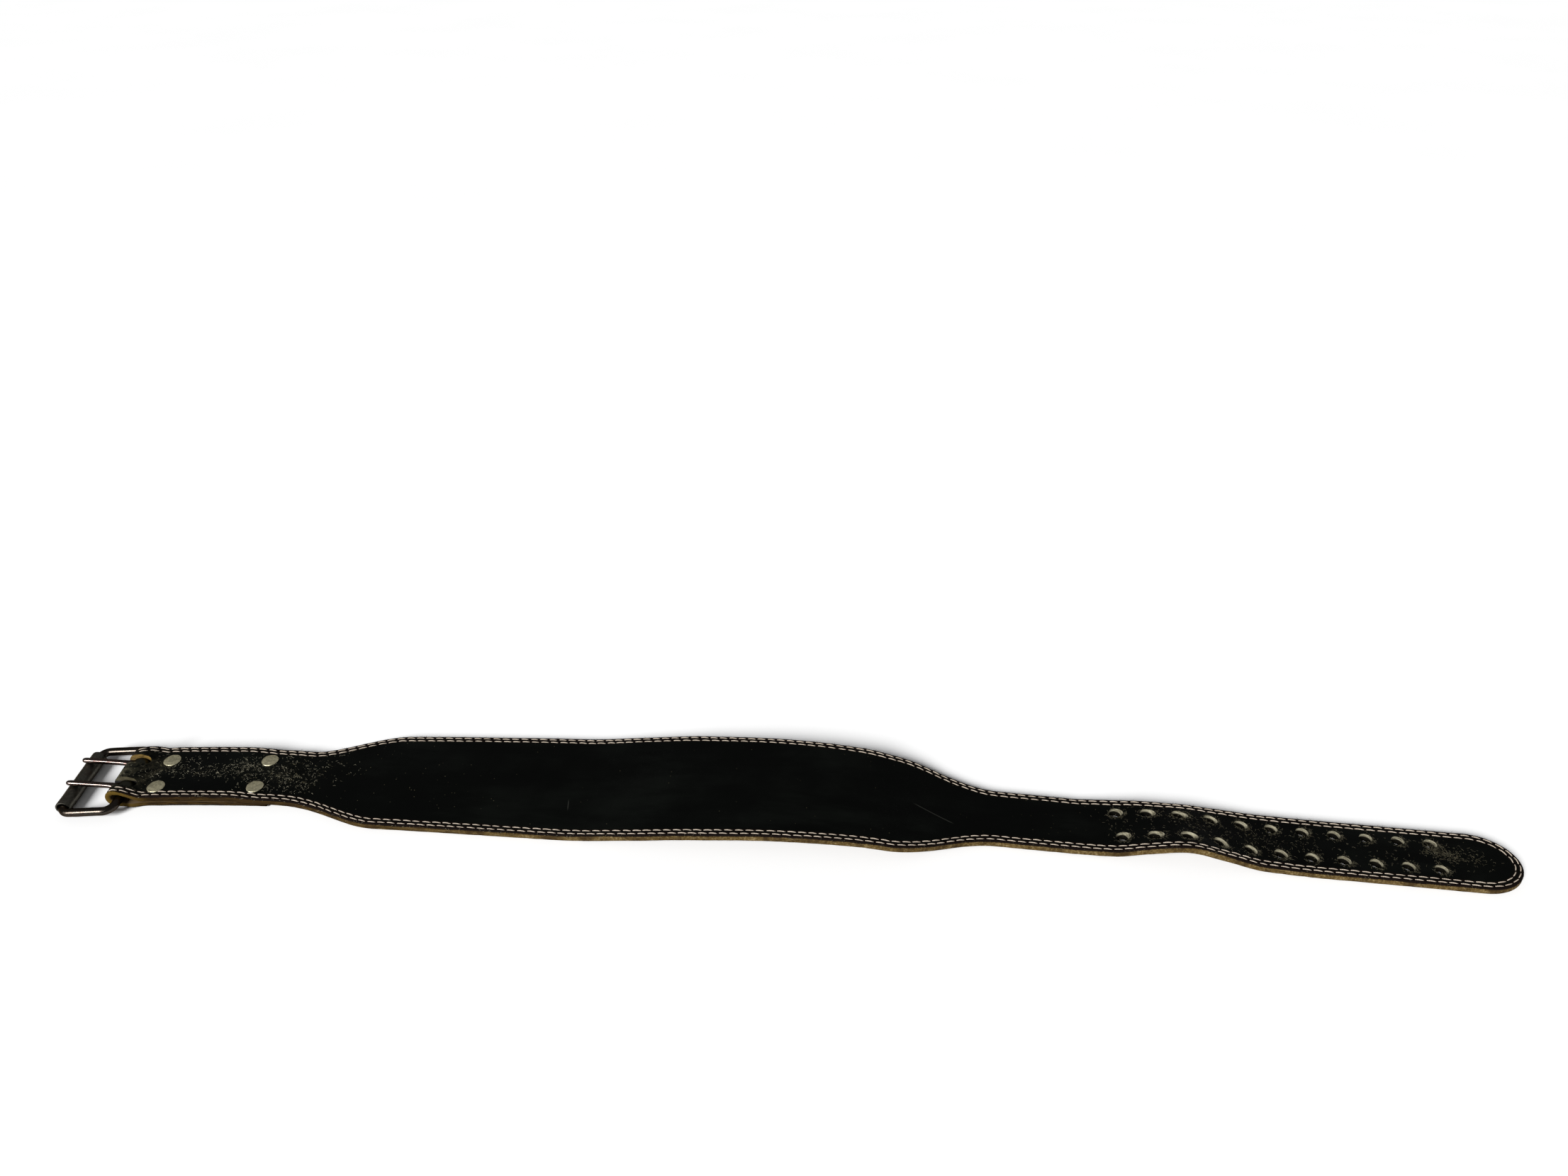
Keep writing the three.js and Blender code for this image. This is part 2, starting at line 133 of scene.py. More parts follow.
# Stitch rows, as distances in from the outline
STITCH_ROWS = (2.0, 4.9)

# Width of the back: share of its length, share of its width
BACK_OUTLINE = (
    (0, 0.9),
    (0.15, 0.935),
    (0.35, 0.975),
    (0.57, 1),
    (0.82, 0.965),
    (1, 0.905),
)

# Sideways bow of the centre line: share of the leather's length, share of the back's width
BOW = (
    (0, -0.184),
    (0.07, -0.116),
    (0.14, -0.07),
    (0.21, -0.028),
    (0.28, 0),
    (0.355, 0.023),
    (0.43, 0.035),
    (0.51, 0.033),
    (0.58, 0.011),
    (0.645, -0.02),
    (0.72, -0.056),
    (0.8, -0.088),
    (0.9, -0.121),
    (1, -0.155),
)

# Waves of the near and the far edge: share of the leather's length, then shares of the wave height
WAVES = (
    (0, 0, 0),
    (0.335, 0, 0),
    (0.385, 0.35, 0.35),
    (0.43, 0.75, 0.75),
    (0.495, 1.05, 1.05),
    (0.545, 0.93, 0.93),
    (0.58, 0.6, 0.4),
    (0.61, 0.22, 0.06),
    (0.645, 0.04, 0.02),
    (0.7, 0.1, 0.02),
    (0.725, 0.2, 0.22),
    (0.75, 0.75, 0.38),
    (0.775, 1.18, 0.37),
    (0.8, 0.72, 0.25),
    (0.827, 0.14, 0.1),
    (0.87, 0, 0.02),
    (1, 0, 0),
)

# How far the prongs have dragged the mouth of each hole, along and across, counted from the back
HOLE_DRAGS = {
    "near": (
        (2.9, 0.5), (3.6, 0.4), (3.3, -0.5), (2.9, -1.9), (1.3, -0.5), (0.9, -0.2),
        (0.9, 0), (0.8, -0.3), (0.6, -0.2), (0.5, -0.2), (0.6, -0.3),
    ),
    "far": (
        (2.6, 0.3), (3.4, 0), (3.2, -0.6), (1.7, -0.8), (1.5, 0), (0.8, 0),
        (0.6, 0), (0.7, 0), (0.6, 0), (0.5, 0), (0.9, -0.2),
    ),
}

# Where the face is scuffed: along and across in millimetres, reach along and across, strength
SCUFFS = (
    (0, -3, 13, 40, 0.95),
    (20, -3, 12, 26, 0.62),
    (36, 4, 16, 13, 0.5),
    (62, -1, 26, 9, 0.66),
    (82, 6, 14, 12, 0.62),
    (94, -2, 12, 15, 0.6),
    (112, 2, 17, 20, 0.76),
    (126, -10, 16, 15, 0.62),
    (140, 12, 24, 18, 0.4),
    (164, 0, 38, 30, 0.3),
    (236, -14, 44, 18, 0.3),
    (228, -6, 60, 34, 0.12),
    (541, -31, 11, 8, 0.5),
    (655, 0, 34, 18, 0.24),
    (698, 2, 14, 20, 0.36),
    (742, 4, 22, 20, 0.62),
    (780, -4, 22, 20, 0.68),
    (822, 0, 24, 20, 0.46),
    (868, -2, 24, 18, 0.36),
    (901, 6, 8, 8, 0.8),
    (908, 0, 9, 9, 0.62),
    (924, 1, 12, 10, 0.34),
)

# A long thin scratch and a short one: where each starts and ends
SCRATCHES = (((557, 0), (587, -14)), ((320.5, -14), (322.5, -27)))

# Where the broad soft light comes from, and the camera's place and turn
LIGHT_FROM = (-0.44, -0.76, 0.53)
LIGHT_SPREAD = 24
CAMERA_PLACE = (0.262, -0.6029, 0.57)
CAMERA_DOWN = 32.8
CAMERA_TURN = 5.3


def clamp(value, low=0.0, high=1.0):
    return max(low, min(high, value))


def ease(u):
    u = clamp(u)
    return u * u * (3 - 2 * u)


def mix(a, b, u):
    return a + (b - a) * u


def closeness(distance, reach):
    """1 at a place, and near 0 at twice the reach from it."""
    return math.exp(-((distance / reach) ** 2))


def read_table(rows, column, along):
    """Reads a column of a table at a place, with a smooth curve that never passes its rows."""
    last = len(rows) - 1
    if along <= rows[0][0]:
        slope = (rows[1][column] - rows[0][column]) / (rows[1][0] - rows[0][0])
        return rows[0][column] + slope * (along - rows[0][0])
    if along >= rows[last][0]:
        return rows[last][column]
    i = next(k for k in range(last) if rows[k + 1][0] > along)

    def rise(k):
        return (rows[k + 1][column] - rows[k][column]) / (rows[k + 1][0] - rows[k][0])

    def tangent(k):
        if k == 0:
            return rise(0)
        if k == last:
            return rise(last - 1)
        before, after = rise(k - 1), rise(k)
        return 0 if before * after <= 0 else 2 * before * after / (before + after)

    span = rows[i + 1][0] - rows[i][0]
    u = (along - rows[i][0]) / span
    return (
        rows[i][column] * (2 * u**3 - 3 * u**2 + 1)
        + rows[i + 1][column] * (3 * u**2 - 2 * u**3)
        + tangent(i) * span * (u**3 - 2 * u**2 + u)
        + tangent(i + 1) * span * (u**3 - u**2)
    )


def half_width(s):
    """Half the width of the strap, before the tip is rounded."""
    back_start = FRONT_LENGTH + FLARE_LENGTH
    taper_start = back_start + BACK_LENGTH

    def back_at(share):
        return read_table(BACK_OUTLINE, 1, share) * BACK_WIDTH

    if s < FRONT_LENGTH:
        return mix(FOLD_WIDTH, BUCKLE_END_WIDTH, ease(s / NARROW_LENGTH)) / 2
    if s < back_start:
        return mix(BUCKLE_END_WIDTH, back_at(0), ease((s - FRONT_LENGTH) / FLARE_LENGTH)) / 2
    if s < taper_start:
        return back_at((s - back_start) / BACK_LENGTH) / 2
    return mix(back_at(1), TONGUE_WIDTH, ease((s - taper_start) / TAPER_LENGTH)) / 2


def middle(s):
    """How far the middle of the leather lies from the centre line, which the fold is cut from."""
    return mix(FOLD_OFFSET, 0, ease(s / NARROW_LENGTH))


def centre_line(s):
    return s - REST_DISTANCE, read_table(BOW, 1, s / LEATHER_LENGTH) * BACK_WIDTH


@lru_cache(maxsize=None)
def section(s):
    """Centre, heading, edge heights and half width of the belt at a distance along it."""
    step = 0.5
    x, y = centre_line(s)
    ahead, behind = centre_line(s + step), centre_line(s - step)
    heading = Vector((ahead[0] - behind[0], ahead[1] - behind[1])).normalized()
    along = clamp(s / LEATHER_LENGTH)
    near = read_table(WAVES, 1, along) * WAVE_HEIGHT
    far = read_table(WAVES, 2, along) * WAVE_HEIGHT
    return x, y, heading.x, heading.y, near, far, half_width(s)


def underside(s, t):
    """The surface that the belt's underside follows, s along the belt and t across it."""
    x, y, ahead_x, ahead_y, near, far, half = section(round(s, 3))
    return Vector((x - t * ahead_y, y + t * ahead_x, mix(near, far, 0.5 + t / (2 * half))))


def directions(s, t):
    """Directions along, across and out of that surface."""
    step = 0.5
    along = (underside(s + step, t) - underside(s - step, t)).normalized()
    across = (underside(s, t + step) - underside(s, t - step)).normalized()
    out = along.cross(across).normalized()
    return along, out.cross(along), out


def lay(s, t, h):
    """A point of the flat belt, laid down, in millimetres: h is the height above the underside."""
    return underside(s, t) + directions(s, t)[2] * h


def lay_matrix(s, t, h):
    """Placement, in metres, of a piece drawn in millimetres on the laid belt."""
    along, across, out = directions(s, t)
    turn = Matrix((along, across, out)).transposed().to_4x4()
    return Matrix.Scale(MM, 4) @ Matrix.Translation(lay(s, t, h)) @ turn


def flap_depth(s):
    return mix(FLAP_THICKNESS, FLAP_END_THICKNESS, ease((s - FLAP_LENGTH) / FLAP_SKIVE_LENGTH + 1))


def loop_closed(s):
    return ease((s - BAR_SETBACK + LOOP_LEAD) / LOOP_LENGTH)


def flap_bottom(s):
    return FLAP_LIFT * loop_closed(s)


def flap_top(s):
    return flap_bottom(s) + flap_depth(s)


def strap_thickness(s):
    return mix(FOLD_THICKNESS, LEATHER_THICKNESS, ease((s - BAR_SETBACK) / THIN_LENGTH))


def strap_underside(s):
    if s > FLAP_LENGTH:
        return mix(flap_top(FLAP_LENGTH) + GAP, 0, ease((s - FLAP_LENGTH) / SETTLE_LENGTH))
    return flap_top(s) + max(2 * LOOP_RADIUS * (1 - loop_closed(s)), GAP)


def strap_top(s):
    """Height of the dyed face above the line the underside follows, round the fold too."""
    if s < FOLD_SETBACK:
        drop = FOLD_SETBACK - max(s, 0)
        return BAR_HEIGHT + math.sqrt(max(FOLD_SETBACK**2 - drop**2, 0))
    return strap_underside(s) + strap_thickness(s)


def stations(start, end, step):
    count = max(1, math.ceil(abs(end - start) / step))
    return [mix(start, end, i / count) for i in range(count)]


RIVET_PLACES = {
    f"rivet_{side}_{row}": (s, offset + sign * RIVET_SPREAD / 2)
    for row, s, offset in (
        ("front", RIVET_FRONT_SETBACK, RIVET_FRONT_OFFSET),
        ("back", FLAP_LENGTH - RIVET_BACK_MARGIN, RIVET_BACK_OFFSET),
    )
    for side, sign in (("near", -1), ("far", 1))
}

LAST_HOLE = LEATHER_LENGTH - LAST_HOLE_SETBACK
HOLE_PLACES = [
    (LAST_HOLE - (HOLES_PER_ROW - 1 - i) * pitch, sign * HOLE_ROW_SPACING / 2, drag)
    for row, sign, pitch in (("near", -1, NEAR_HOLE_PITCH), ("far", 1, FAR_HOLE_PITCH))
    for i, drag in enumerate(HOLE_DRAGS[row])
]

SLOT_PLACES = [PRONG_OFFSET + sign * PRONG_SPACING / 2 for sign in (-1, 1)]


# Settings that a user would change


def colour_setting(name, description, default):
    return bpy.props.FloatVectorProperty(
        name=name, description=description, subtype="COLOR", default=default
    )


def number_setting(name, description, default, low=0.0, high=200.0, unit="NONE"):
    return bpy.props.FloatProperty(
        name=name, description=description, default=default, min=low, max=high, unit=unit
    )


class BeltLeatherSettings(bpy.types.PropertyGroup):
    face: colour_setting("Face", "Colour of the dyed face", (0.0009, 0.0011, 0.0009))
    edge: colour_setting("Edge", "Colour of the raw edge", (0.075, 0.048, 0.015))
    flesh: colour_setting("Flesh side", "Colour of the suede inner side", (0.09, 0.062, 0.034))
    scuff: colour_setting("Scuffs", "Colour of the fibres raised by wear", (0.27, 0.25, 0.165))
    unevenness: number_setting(
        "Unevenness", "Height of the slow swells in the face", 0.00022, 0, 0.001, "LENGTH"
    )


class BeltThreadSettings(bpy.types.PropertyGroup):
    pitch: number_setting(
        "Stitch pitch", "Distance from stitch to stitch", 0.00695, 0.003, 0.02, "LENGTH"
    )
    length: number_setting(
        "Stitch length", "Length of the thread seen in a stitch", 0.0065, 0.002, 0.02, "LENGTH"
    )
    thickness: number_setting("Thread", "Thickness of the thread", 0.00076, 0.0003, 0.003, "LENGTH")
    colour: colour_setting("Thread colour", "Colour of the waxed thread", (0.5, 0.43, 0.35))
    fibres: bpy.props.IntProperty(
        name="Loose fibres",
        description="Number of loose fibres on the leather",
        default=3000,
        min=0,
        max=6000,
    )


class BeltBuckleSettings(bpy.types.PropertyGroup):
    frame: colour_setting("Frame", "Colour of the frame's wire", (0.055, 0.046, 0.038))
    roller: colour_setting("Roller", "Colour of the roller", (0.13, 0.124, 0.104))
    prong: colour_setting("Prongs", "Colour of the prongs", (0.105, 0.08, 0.071))
    rivet: colour_setting("Rivets", "Colour of the rivets", (0.95, 0.88, 0.6))
    dents: number_setting("Dents", "Depth of the dents in the metal", 0.00012, 0, 0.001, "LENGTH")


class BeltStageSettings(bpy.types.PropertyGroup):
    floor: colour_setting("Floor", "Colour of the floor", (0.92, 0.92, 0.92))
    lamp: number_setting("Soft light", "Strength of the broad light from the near left", 5.65)
    fill: number_setting("Fill light", "Strength of the light from all round", 0.19)
    lens: number_setting("Lens", "Focal length of the camera in millimetres", 27.03, 10)


# Shader helpers


class Level:
    """A value in a shader tree: sums, products and steps of it become nodes of the tree."""

    def __init__(self, socket):
        self.socket = socket
        self.tree = socket.id_data

    def node(self, kind, values, output=0, **settings):
        return Level(add_node(self.tree, kind, values, **settings).outputs[output])

    def maths(self, operation, *values):
        return self.node("ShaderNodeMath", dict(enumerate(values)), operation=operation)

    def __add__(self, other):
        return self.maths("ADD", self, other)

    def __sub__(self, other):
        return self.maths("SUBTRACT", self, other)

    def __rsub__(self, other):
        return self.maths("SUBTRACT", other, self)

    def __mul__(self, other):
        return self.maths("MULTIPLY", self, other)

    def __truediv__(self, other):
        return self.maths("DIVIDE", self, other)

    def __pow__(self, power):
        return self.maths("POWER", self, power)

    def __abs__(self):
        return self.maths("ABSOLUTE", self)

    def above(self, limit):
        """1 where the level is over the limit, otherwise 0."""
        return self.maths("GREATER_THAN", self, limit)

    def most(self, *others):
        """The greatest of this and others."""
        return reduce(lambda a, b: a.maths("MAXIMUM", a, b), others, self)

    def least(self, *others):
        """The smallest of this and others."""
        return reduce(lambda a, b: a.maths("MINIMUM", a, b), others, self)

    def step(self, low, high, to_low=0.0, to_high=1.0):
        """Smooth step from low to high."""
        values = dict(enumerate((self, low, high, to_low, to_high)))
        return self.node("ShaderNodeMapRange", values, interpolation_type="SMOOTHSTEP")

    def fade(self, low, high):
        """Smooth step from 1 at low down to 0 at high."""
        return self.step(low, high, 1.0, 0.0)

    def blend(self, shade, other):
        """Two colours mixed, with this level as the share of the second."""
        values = {0: self, 6: opaque(shade), 7: opaque(other)}
        return self.node("ShaderNodeMix", values, 2, data_type="RGBA")

    def stretched(self, factors):
        return self.node("ShaderNodeVectorMath", {0: self, 1: factors}, operation="MULTIPLY")

    def shifted(self, move):
        return self.node("ShaderNodeVectorMath", {0: self, 1: move}, operation="ADD")

    def split(self):
        """The x, y and z of a vector."""
        parts = add_node(self.tree, "ShaderNodeSeparateXYZ", {0: self}).outputs
        return [Level(part) for part in parts]

    def noise(self, scale, detail=3.0, roughness=0.5, distortion=0.0):
        values = {"Vector": self, "Scale": scale, "Detail": detail}
        values |= {"Roughness": roughness, "Distortion": distortion}
        return self.node("ShaderNodeTexNoise", values, "Fac")


def opaque(shade):
    return shade if isinstance(shade, Level) else (*shade, 1)


def times(shade, factor):
    """A colour made darker or lighter."""
    return [min(1, factor * part) for part in shade]


def set_inputs(node, values):
    """Links every value that is a level and sets the others on the node's own sockets."""
    for key, value in values.items():
        if isinstance(value, Level):
            node.id_data.links.new(value.socket, node.inputs[key])
        else:
            node.inputs[key].default_value = value


def add_node(tree, kind, values=None, **settings):
    made = tree.nodes.new(kind)
    for name, value in settings.items():
        setattr(made, name, value)
    set_inputs(made, values or {})
    return made


def uv_parts(tree, name, scale=1.0):
    """The two parts of a UV map, each times the scale."""
    whole = Level(add_node(tree, "ShaderNodeUVMap", uv_map=name).outputs["UV"])
    return [part * scale for part in whole.split()[:2]]


def new_material(name, **shader_values):
    """A material with a Principled shader, and where its points are in the object's own axes."""
    material = bpy.data.materials.new(name)
    material.use_nodes = True
    nodes = material.node_tree.nodes
    plain = {key.replace("_", " "): value for key, value in shader_values.items()}
    set_inputs(nodes["Principled BSDF"], plain)
    return material, Level(nodes.new("ShaderNodeTexCoord").outputs["Object"])


def dress(material, shade, height, distance, strength, rough=None):
    """Gives a material its colour, its bump and, where it varies, its roughness."""
    bump = {"Strength": strength, "Distance": distance, "Height": height}
    values = {"Base Color": shade, "Normal": height.node("ShaderNodeBump", bump, "Normal")}
    if rough is not None:
        values["Roughness"] = rough
    set_inputs(material.node_tree.nodes["Principled BSDF"], values)
    return material


# Shared node groups


def curled_fibres(place, scale, density, thickness):
    """Short curls, as scuffed leather raises, denser where the density is higher."""
    layers = []
    for shift, stretch in (((0, 0, 0), 1.0), ((0.31, 0.12, 0.2), 1.45), ((0.52, 0.43, 0.11), 0.72)):
        moved = place.shifted(shift)
        finer = scale * stretch
        line = abs(moved.noise(finer, 1.5, 0.55, 0.6) - 0.5).fade(0.0, thickness)
        limit = 0.86 - density * 0.46
        layers.append(line * moved.noise(finer * 1.3, 1.0, 0.5).step(limit, limit + 0.06))
    return [layers[0].most(*layers[1:])]


def pale_specks(place, scale, amount):
    """Tiny dots scattered at random."""
    cells = add_node(place.tree, "ShaderNodeTexVoronoi", {"Vector": place, "Scale": scale}).outputs
    chance = Level(cells["Color"]).split()[0]
    return [Level(cells["Distance"]).fade(0.06, 0.2) * chance.above(1 - amount)]


def leather_grain(place, scale):
    """The height of the fine pebbled grain with its hair pores, and faint creases."""
    values = {"Vector": place, "Scale": scale, "Smoothness": 0.6}
    cells = place.node("ShaderNodeTexVoronoi", values, "Distance", feature="SMOOTH_F1")
    folds = place.stretched((1.6, 0.45, 1)).noise(scale * 0.11, 4.0, 0.6, 1.2)
    return [cells * 0.7 + place.noise(scale * 2.3, 2.0) * 0.3, abs(folds - 0.5).fade(0.0, 0.018)]


def tarnish(place, scale, amount):
    """The broad stains, fine mottling and hairline scratches of handled metal."""
    level = 0.8 - amount * 0.55
    stain = place.noise(scale, 4.0, 0.62, 0.8).step(level, level + 0.2)
    hair = place.stretched((1.0, 0.06, 0.06)).noise(scale * 22.0, 1.0)
    return [stain, place.noise(scale * 7.0, 3.0, 0.6), abs(hair - 0.5).fade(0.0, 0.02)]


def raw_fibre(place, stretch, scale):
    """The streaks, fine fuzz and broad smudges of cut leather."""
    streak = place.stretched(stretch).noise(scale, 4.0, 0.6, 0.4)
    return [streak, place.noise(scale * 3.0, 3.0, 0.7), place.noise(scale * 0.14, 3.0, 0.6)]


# How each is built, what it takes besides the place, and what it gives
GROUPS = {
    "Curled fibres": (curled_fibres, {"Scale": 300.0, "Density": 0.5, "Thickness": 0.03}, ["Mask"]),
    "Pale specks": (pale_specks, {"Scale": 400.0, "Amount": 0.05}, ["Mask"]),
    "Leather grain": (leather_grain, {"Scale": 900.0}, ["Height", "Crease"]),
    "Tarnish": (tarnish, {"Scale": 120.0, "Amount": 0.5}, ["Stain", "Mottle", "Scratch"]),
    "Raw fibre": (
        raw_fibre,
        {"Stretch": (1.0, 1.0, 1.0), "Scale": 500.0},
        ["Streak", "Fuzz", "Smudge"],
    ),
}


def build_group(name):
    build, taken, given = GROUPS[name]
    tree = bpy.data.node_groups.new(name, "ShaderNodeTree")
    for key, default in {"Vector": (0.0, 0.0, 0.0), **taken}.items():
        kind = "NodeSocketVector" if isinstance(default, tuple) else "NodeSocketFloat"
        tree.interface.new_socket(key, in_out="INPUT", socket_type=kind).default_value = default
    for key in given:
        tree.interface.new_socket(key, in_out="OUTPUT", socket_type="NodeSocketFloat")
    inputs = tree.nodes.new("NodeGroupInput").outputs
    levels = build(*[Level(inputs[key]) for key in ("Vector", *taken)])
    set_inputs(tree.nodes.new("NodeGroupOutput"), dict(zip(given, levels)))
    return tree


def use_group(name, place, **values):
    """Adds a shared node group, which is built the first time it is asked for."""
    holder = place.tree.nodes.new("ShaderNodeGroup")
    holder.node_tree = bpy.data.node_groups.get(name) or build_group(name)
    set_inputs(holder, {"Vector": place, **values})
    return [Level(output) for output in holder.outputs]


# Materials


def distance_from(along, across, s, t):
    """Distance in the plane of the leather from a place on it."""
    off_along, off_across = along - s, across - t
    squares = off_along * off_along + off_across * off_across
    return squares.maths("SQRT", squares)


def hole_distance(along, across):
    """Distance in millimetres from the rim of the nearest punched hole."""
    pitch = across.above(0.0) * (FAR_HOLE_PITCH - NEAR_HOLE_PITCH) + NEAR_HOLE_PITCH
    steps = (LAST_HOLE - along) / pitch
    count = steps.maths("ROUND", steps).most(0.0).least(HOLES_PER_ROW - 1.0)
    off_hole = distance_from(along, abs(across), LAST_HOLE - count * pitch, HOLE_ROW_SPACING / 2)
    return off_hole - HOLE_DIAMETER / 2


def rivet_distance(along, across):
    """Distance in millimetres from the middle of the nearest rivet."""
    first, *others = [distance_from(along, across, s, t) for s, t in RIVET_PLACES.values()]
    return first.least(*others)


def scratch_level(along, across, start, end):
    """1 along a thin scratch that fades at both ends."""
    run = Vector(end) - Vector(start)
    length = run.length
    run.normalize()
    ahead, beside = along - start[0], across - start[1]
    down = ahead * run.x + beside * run.y
    aside = abs(ahead * run.y - beside * run.x)
    return aside.fade(0.05, 0.5) * (down.step(0.0, 5.0) * down.fade(length - 5.0, length))


def leather_material(settings):
    """Black dyed face, tan raw edge and suede inner side, told apart by the piece's own UV maps."""
    material, place = new_material("belt_leather", Specular_IOR_Level=0.04)
    along, across = uv_parts(place.tree, "lay", 1000.0)
    inset, depth = uv_parts(place.tree, "edge", 10.0)
    wear, corner = uv_parts(place.tree, "wear")
    pebbles, creases = use_group("Leather grain", place, Scale=850.0)
    streak, fuzz, smudge = use_group("Raw fibre", place, Stretch=(0.16, 0.9, 2.2), Scale=520.0)
    slow = place.noise(14.0, 4.0, 0.6)
    drawn = place.stretched((0.25, 1.0, 1.0)).noise(60.0, 4.0, 0.6)
    middling = place.noise(75.0, 4.0, 0.6)

    # Wear: scuffed patches, the rims of the holes on their buckle side, and round the rivets
    rim_wear = hole_distance(along - 0.9, across + 0.7).fade(0.2, 3.4)
    rivet_wear = rivet_distance(along, across).fade(6.0, 9.0)
    worn = wear * along.step(24.0, 80.0, 1.0, 0.74) + rim_wear * 0.5 + rivet_wear * 0.16
    worn = (worn + (middling - 0.5) * 0.9 * worn).most(0.0).least(1.0)
    curls = use_group("Curled fibres", place, Scale=250.0, Density=worn, Thickness=0.02)[0]
    fine_curls = use_group("Curled fibres", place, Scale=560.0, Density=worn * 0.8, Thickness=0.026)[0]
    specks = use_group("Pale specks", place, Scale=480.0, Amount=worn * 0.34 + 0.018)[0]

    # The dyed face, a little greener and paler in slow patches that are partly uneven tone and partly
    # painted sheen, olive where it is rubbed
    tone_and_sheen_patches = slow.step(0.36, 0.7) * drawn.step(0.3, 0.68)
    face = tone_and_sheen_patches.blend(settings.face, times(settings.face, 3.2))
    rub = worn.step(0.25, 1.0) * place.noise(210.0, 5.0, 0.65).step(0.36, 0.66) * worn**1.5
    face = (rub * (along.fade(9.0, 34.0) + 0.1)).blend(face, (0.07, 0.064, 0.04))
    tint = place.noise(160.0, 2.0).blend(settings.scuff, (0.095, 0.076, 0.034))
    tint = along.step(150.0, 600.0, 0.25, 0.72).blend(tint, (0.042, 0.031, 0.0105))
    marks = (curls * 0.85).most(fine_curls * 0.55, specks * 0.75)
    marks = marks * middling.step(0.32, 0.64, 0.15, 0.75)
    face = marks.blend(face, tint)

    # Maroon brown margins beside the thread, then the scratches
    seam = inset.fade(1.2, 2.2).most(*[abs(inset - row).fade(0.45, 1.5) for row in STITCH_ROWS])
    face = (seam * 0.8).blend(face, (0.0042, 0.002, 0.0016))
    for start, end in SCRATCHES:
        mark = scratch_level(along, across, start, end) * 0.35
        face = mark.blend(face, (0.06, 0.06, 0.05))

    # The raw edge: glossy brown by the buckle, matted and paler towards the tip of the strap
    toward_tip = along.step(90.0, 420.0)
    streaky = streak * 0.8 + fuzz * 0.2
    matted = place.noise(620.0, 4.0, 0.75) * 0.72 + streak * 0.28
    level = streaky * (1 - toward_tip) + matted * toward_tip + toward_tip * 0.045
    edge = level.step(0.36, 0.54).blend((0.016, 0.0085, 0.0028), settings.edge)
    edge = level.step(0.53, 0.72).blend(edge, (0.2, 0.15, 0.072))
    handled = level.step(0.42, 0.62).blend((0.0065, 0.0028, 0.0004), (0.034, 0.0175, 0.0028))
    edge = (along.fade(60.0, 330.0) * 0.94).blend(edge, handled)
    edge = (smudge.step(0.45, 0.66) * 0.8).blend(edge, (0.022, 0.012, 0.004))
    near_fold = along.fade(4.0, 34.0)
    edge = (near_fold * 0.6).blend(edge, (0.13, 0.08, 0.013))

    # The suede inner side
    flesh = fuzz.blend(times(settings.flesh, 0.6), times(settings.flesh, 1.45))
    flesh = (slow.step(0.45, 0.7) * 0.5).blend(flesh, (0.05, 0.032, 0.018))

    # The dye ends in a ragged line below the corner of the face
    jag = (fuzz - 0.5) * 1.9 + (middling - 0.5) * 1.6
    cut = (depth + jag - (1.15 - corner * 1.5)).step(-0.15, 0.3)
    cut = (cut * inset.fade(0.9, 1.5)).most(depth.step(2.2, 2.4))
    is_flesh = depth.step(2.9, 3.1) * inset.step(0.25, 0.7)
    shade = is_flesh.blend(cut.blend(face, edge), flesh)

    dull = cut.most(is_flesh, marks.most(inset.fade(1.0, 1.6)))
    rough = slow.step(0.35, 0.7, 0.5, 0.4) + dull * 0.32 + worn * 0.12 - near_fold * cut * 0.25
    height = pebbles * 0.16 - creases * 0.08 + curls.most(fine_curls) * 0.55
    height = height * (1 - cut) + level * cut * 1.1
    return dress(material, shade, height, 0.0005, 0.9, rough.least(0.95))


def cut_material(name, dark, light, roughness, painted_shade_depth, gloss=0.25):
    """The wall of a punched hole or a slot: fibrous cut leather, with painted shade at its foot."""
    material, place = new_material(name, Specular_IOR_Level=gloss)
    streak, fuzz, smudge = use_group("Raw fibre", place, Stretch=(0.35, 0.35, 1.9), Scale=620.0)
    level = streak * 0.75 + fuzz * 0.25
    depth = uv_parts(place.tree, "edge", 10.0)[1] + (level - 0.5) * 2.0
    shade = level.step(0.36, 0.6).blend(dark, light)
    # Painted shade: below the given depth the wall turns near black
    shade = depth.step(painted_shade_depth, painted_shade_depth + 0.7).blend(shade, (0.0035, 0.003, 0.002))
    rough = smudge.step(0.3, 0.7, roughness, roughness + 0.15)
    return dress(material, shade, level, 0.0006, 0.9, rough)


def thread_material(settings):
    """Waxed thread of twisted plies, grubby in places, with painted shade in the grooves between the plies.
    """
    material, place = new_material("waxed_thread", Roughness=0.62, Specular_IOR_Level=0.3)
    round_it, along_it = uv_parts(place.tree, "thread")
    turn = (round_it + along_it * 3.4) * (4 * math.pi)
    wave = turn.maths("SINE", turn)
    shade = place.noise(45.0, 2.0).blend(settings.colour, (0.42, 0.36, 0.28))
    dirt = place.noise(130.0, 4.0, 0.65).step(0.42, 0.7)
    shade = (dirt * 0.55).blend(shade, (0.17, 0.13, 0.095))
    # Painted shade: the grooves between the plies, where the twist wave is low, are darker
    shade = wave.step(-1.0, -0.2).blend((0.3, 0.24, 0.19), shade)
    return dress(material, shade, wave, 0.0001, 0.7)


def fibre_material():
    """Loose strands, paler by the buckle than towards the tip."""
    material, place = new_material("loose_fibre", Roughness=0.8)
    tone = place.noise(320.0, 2.0)
    shade = tone.step(0.3, 0.7).blend((0.09, 0.08, 0.05), (0.3, 0.28, 0.2))
    toward_tip = place.split()[0].step(-0.12, 0.3)
    shade = (toward_tip * 0.85).blend(shade, (0.045, 0.037, 0.016))
    return dress(material, shade, tone, 0.0001, 0.5)


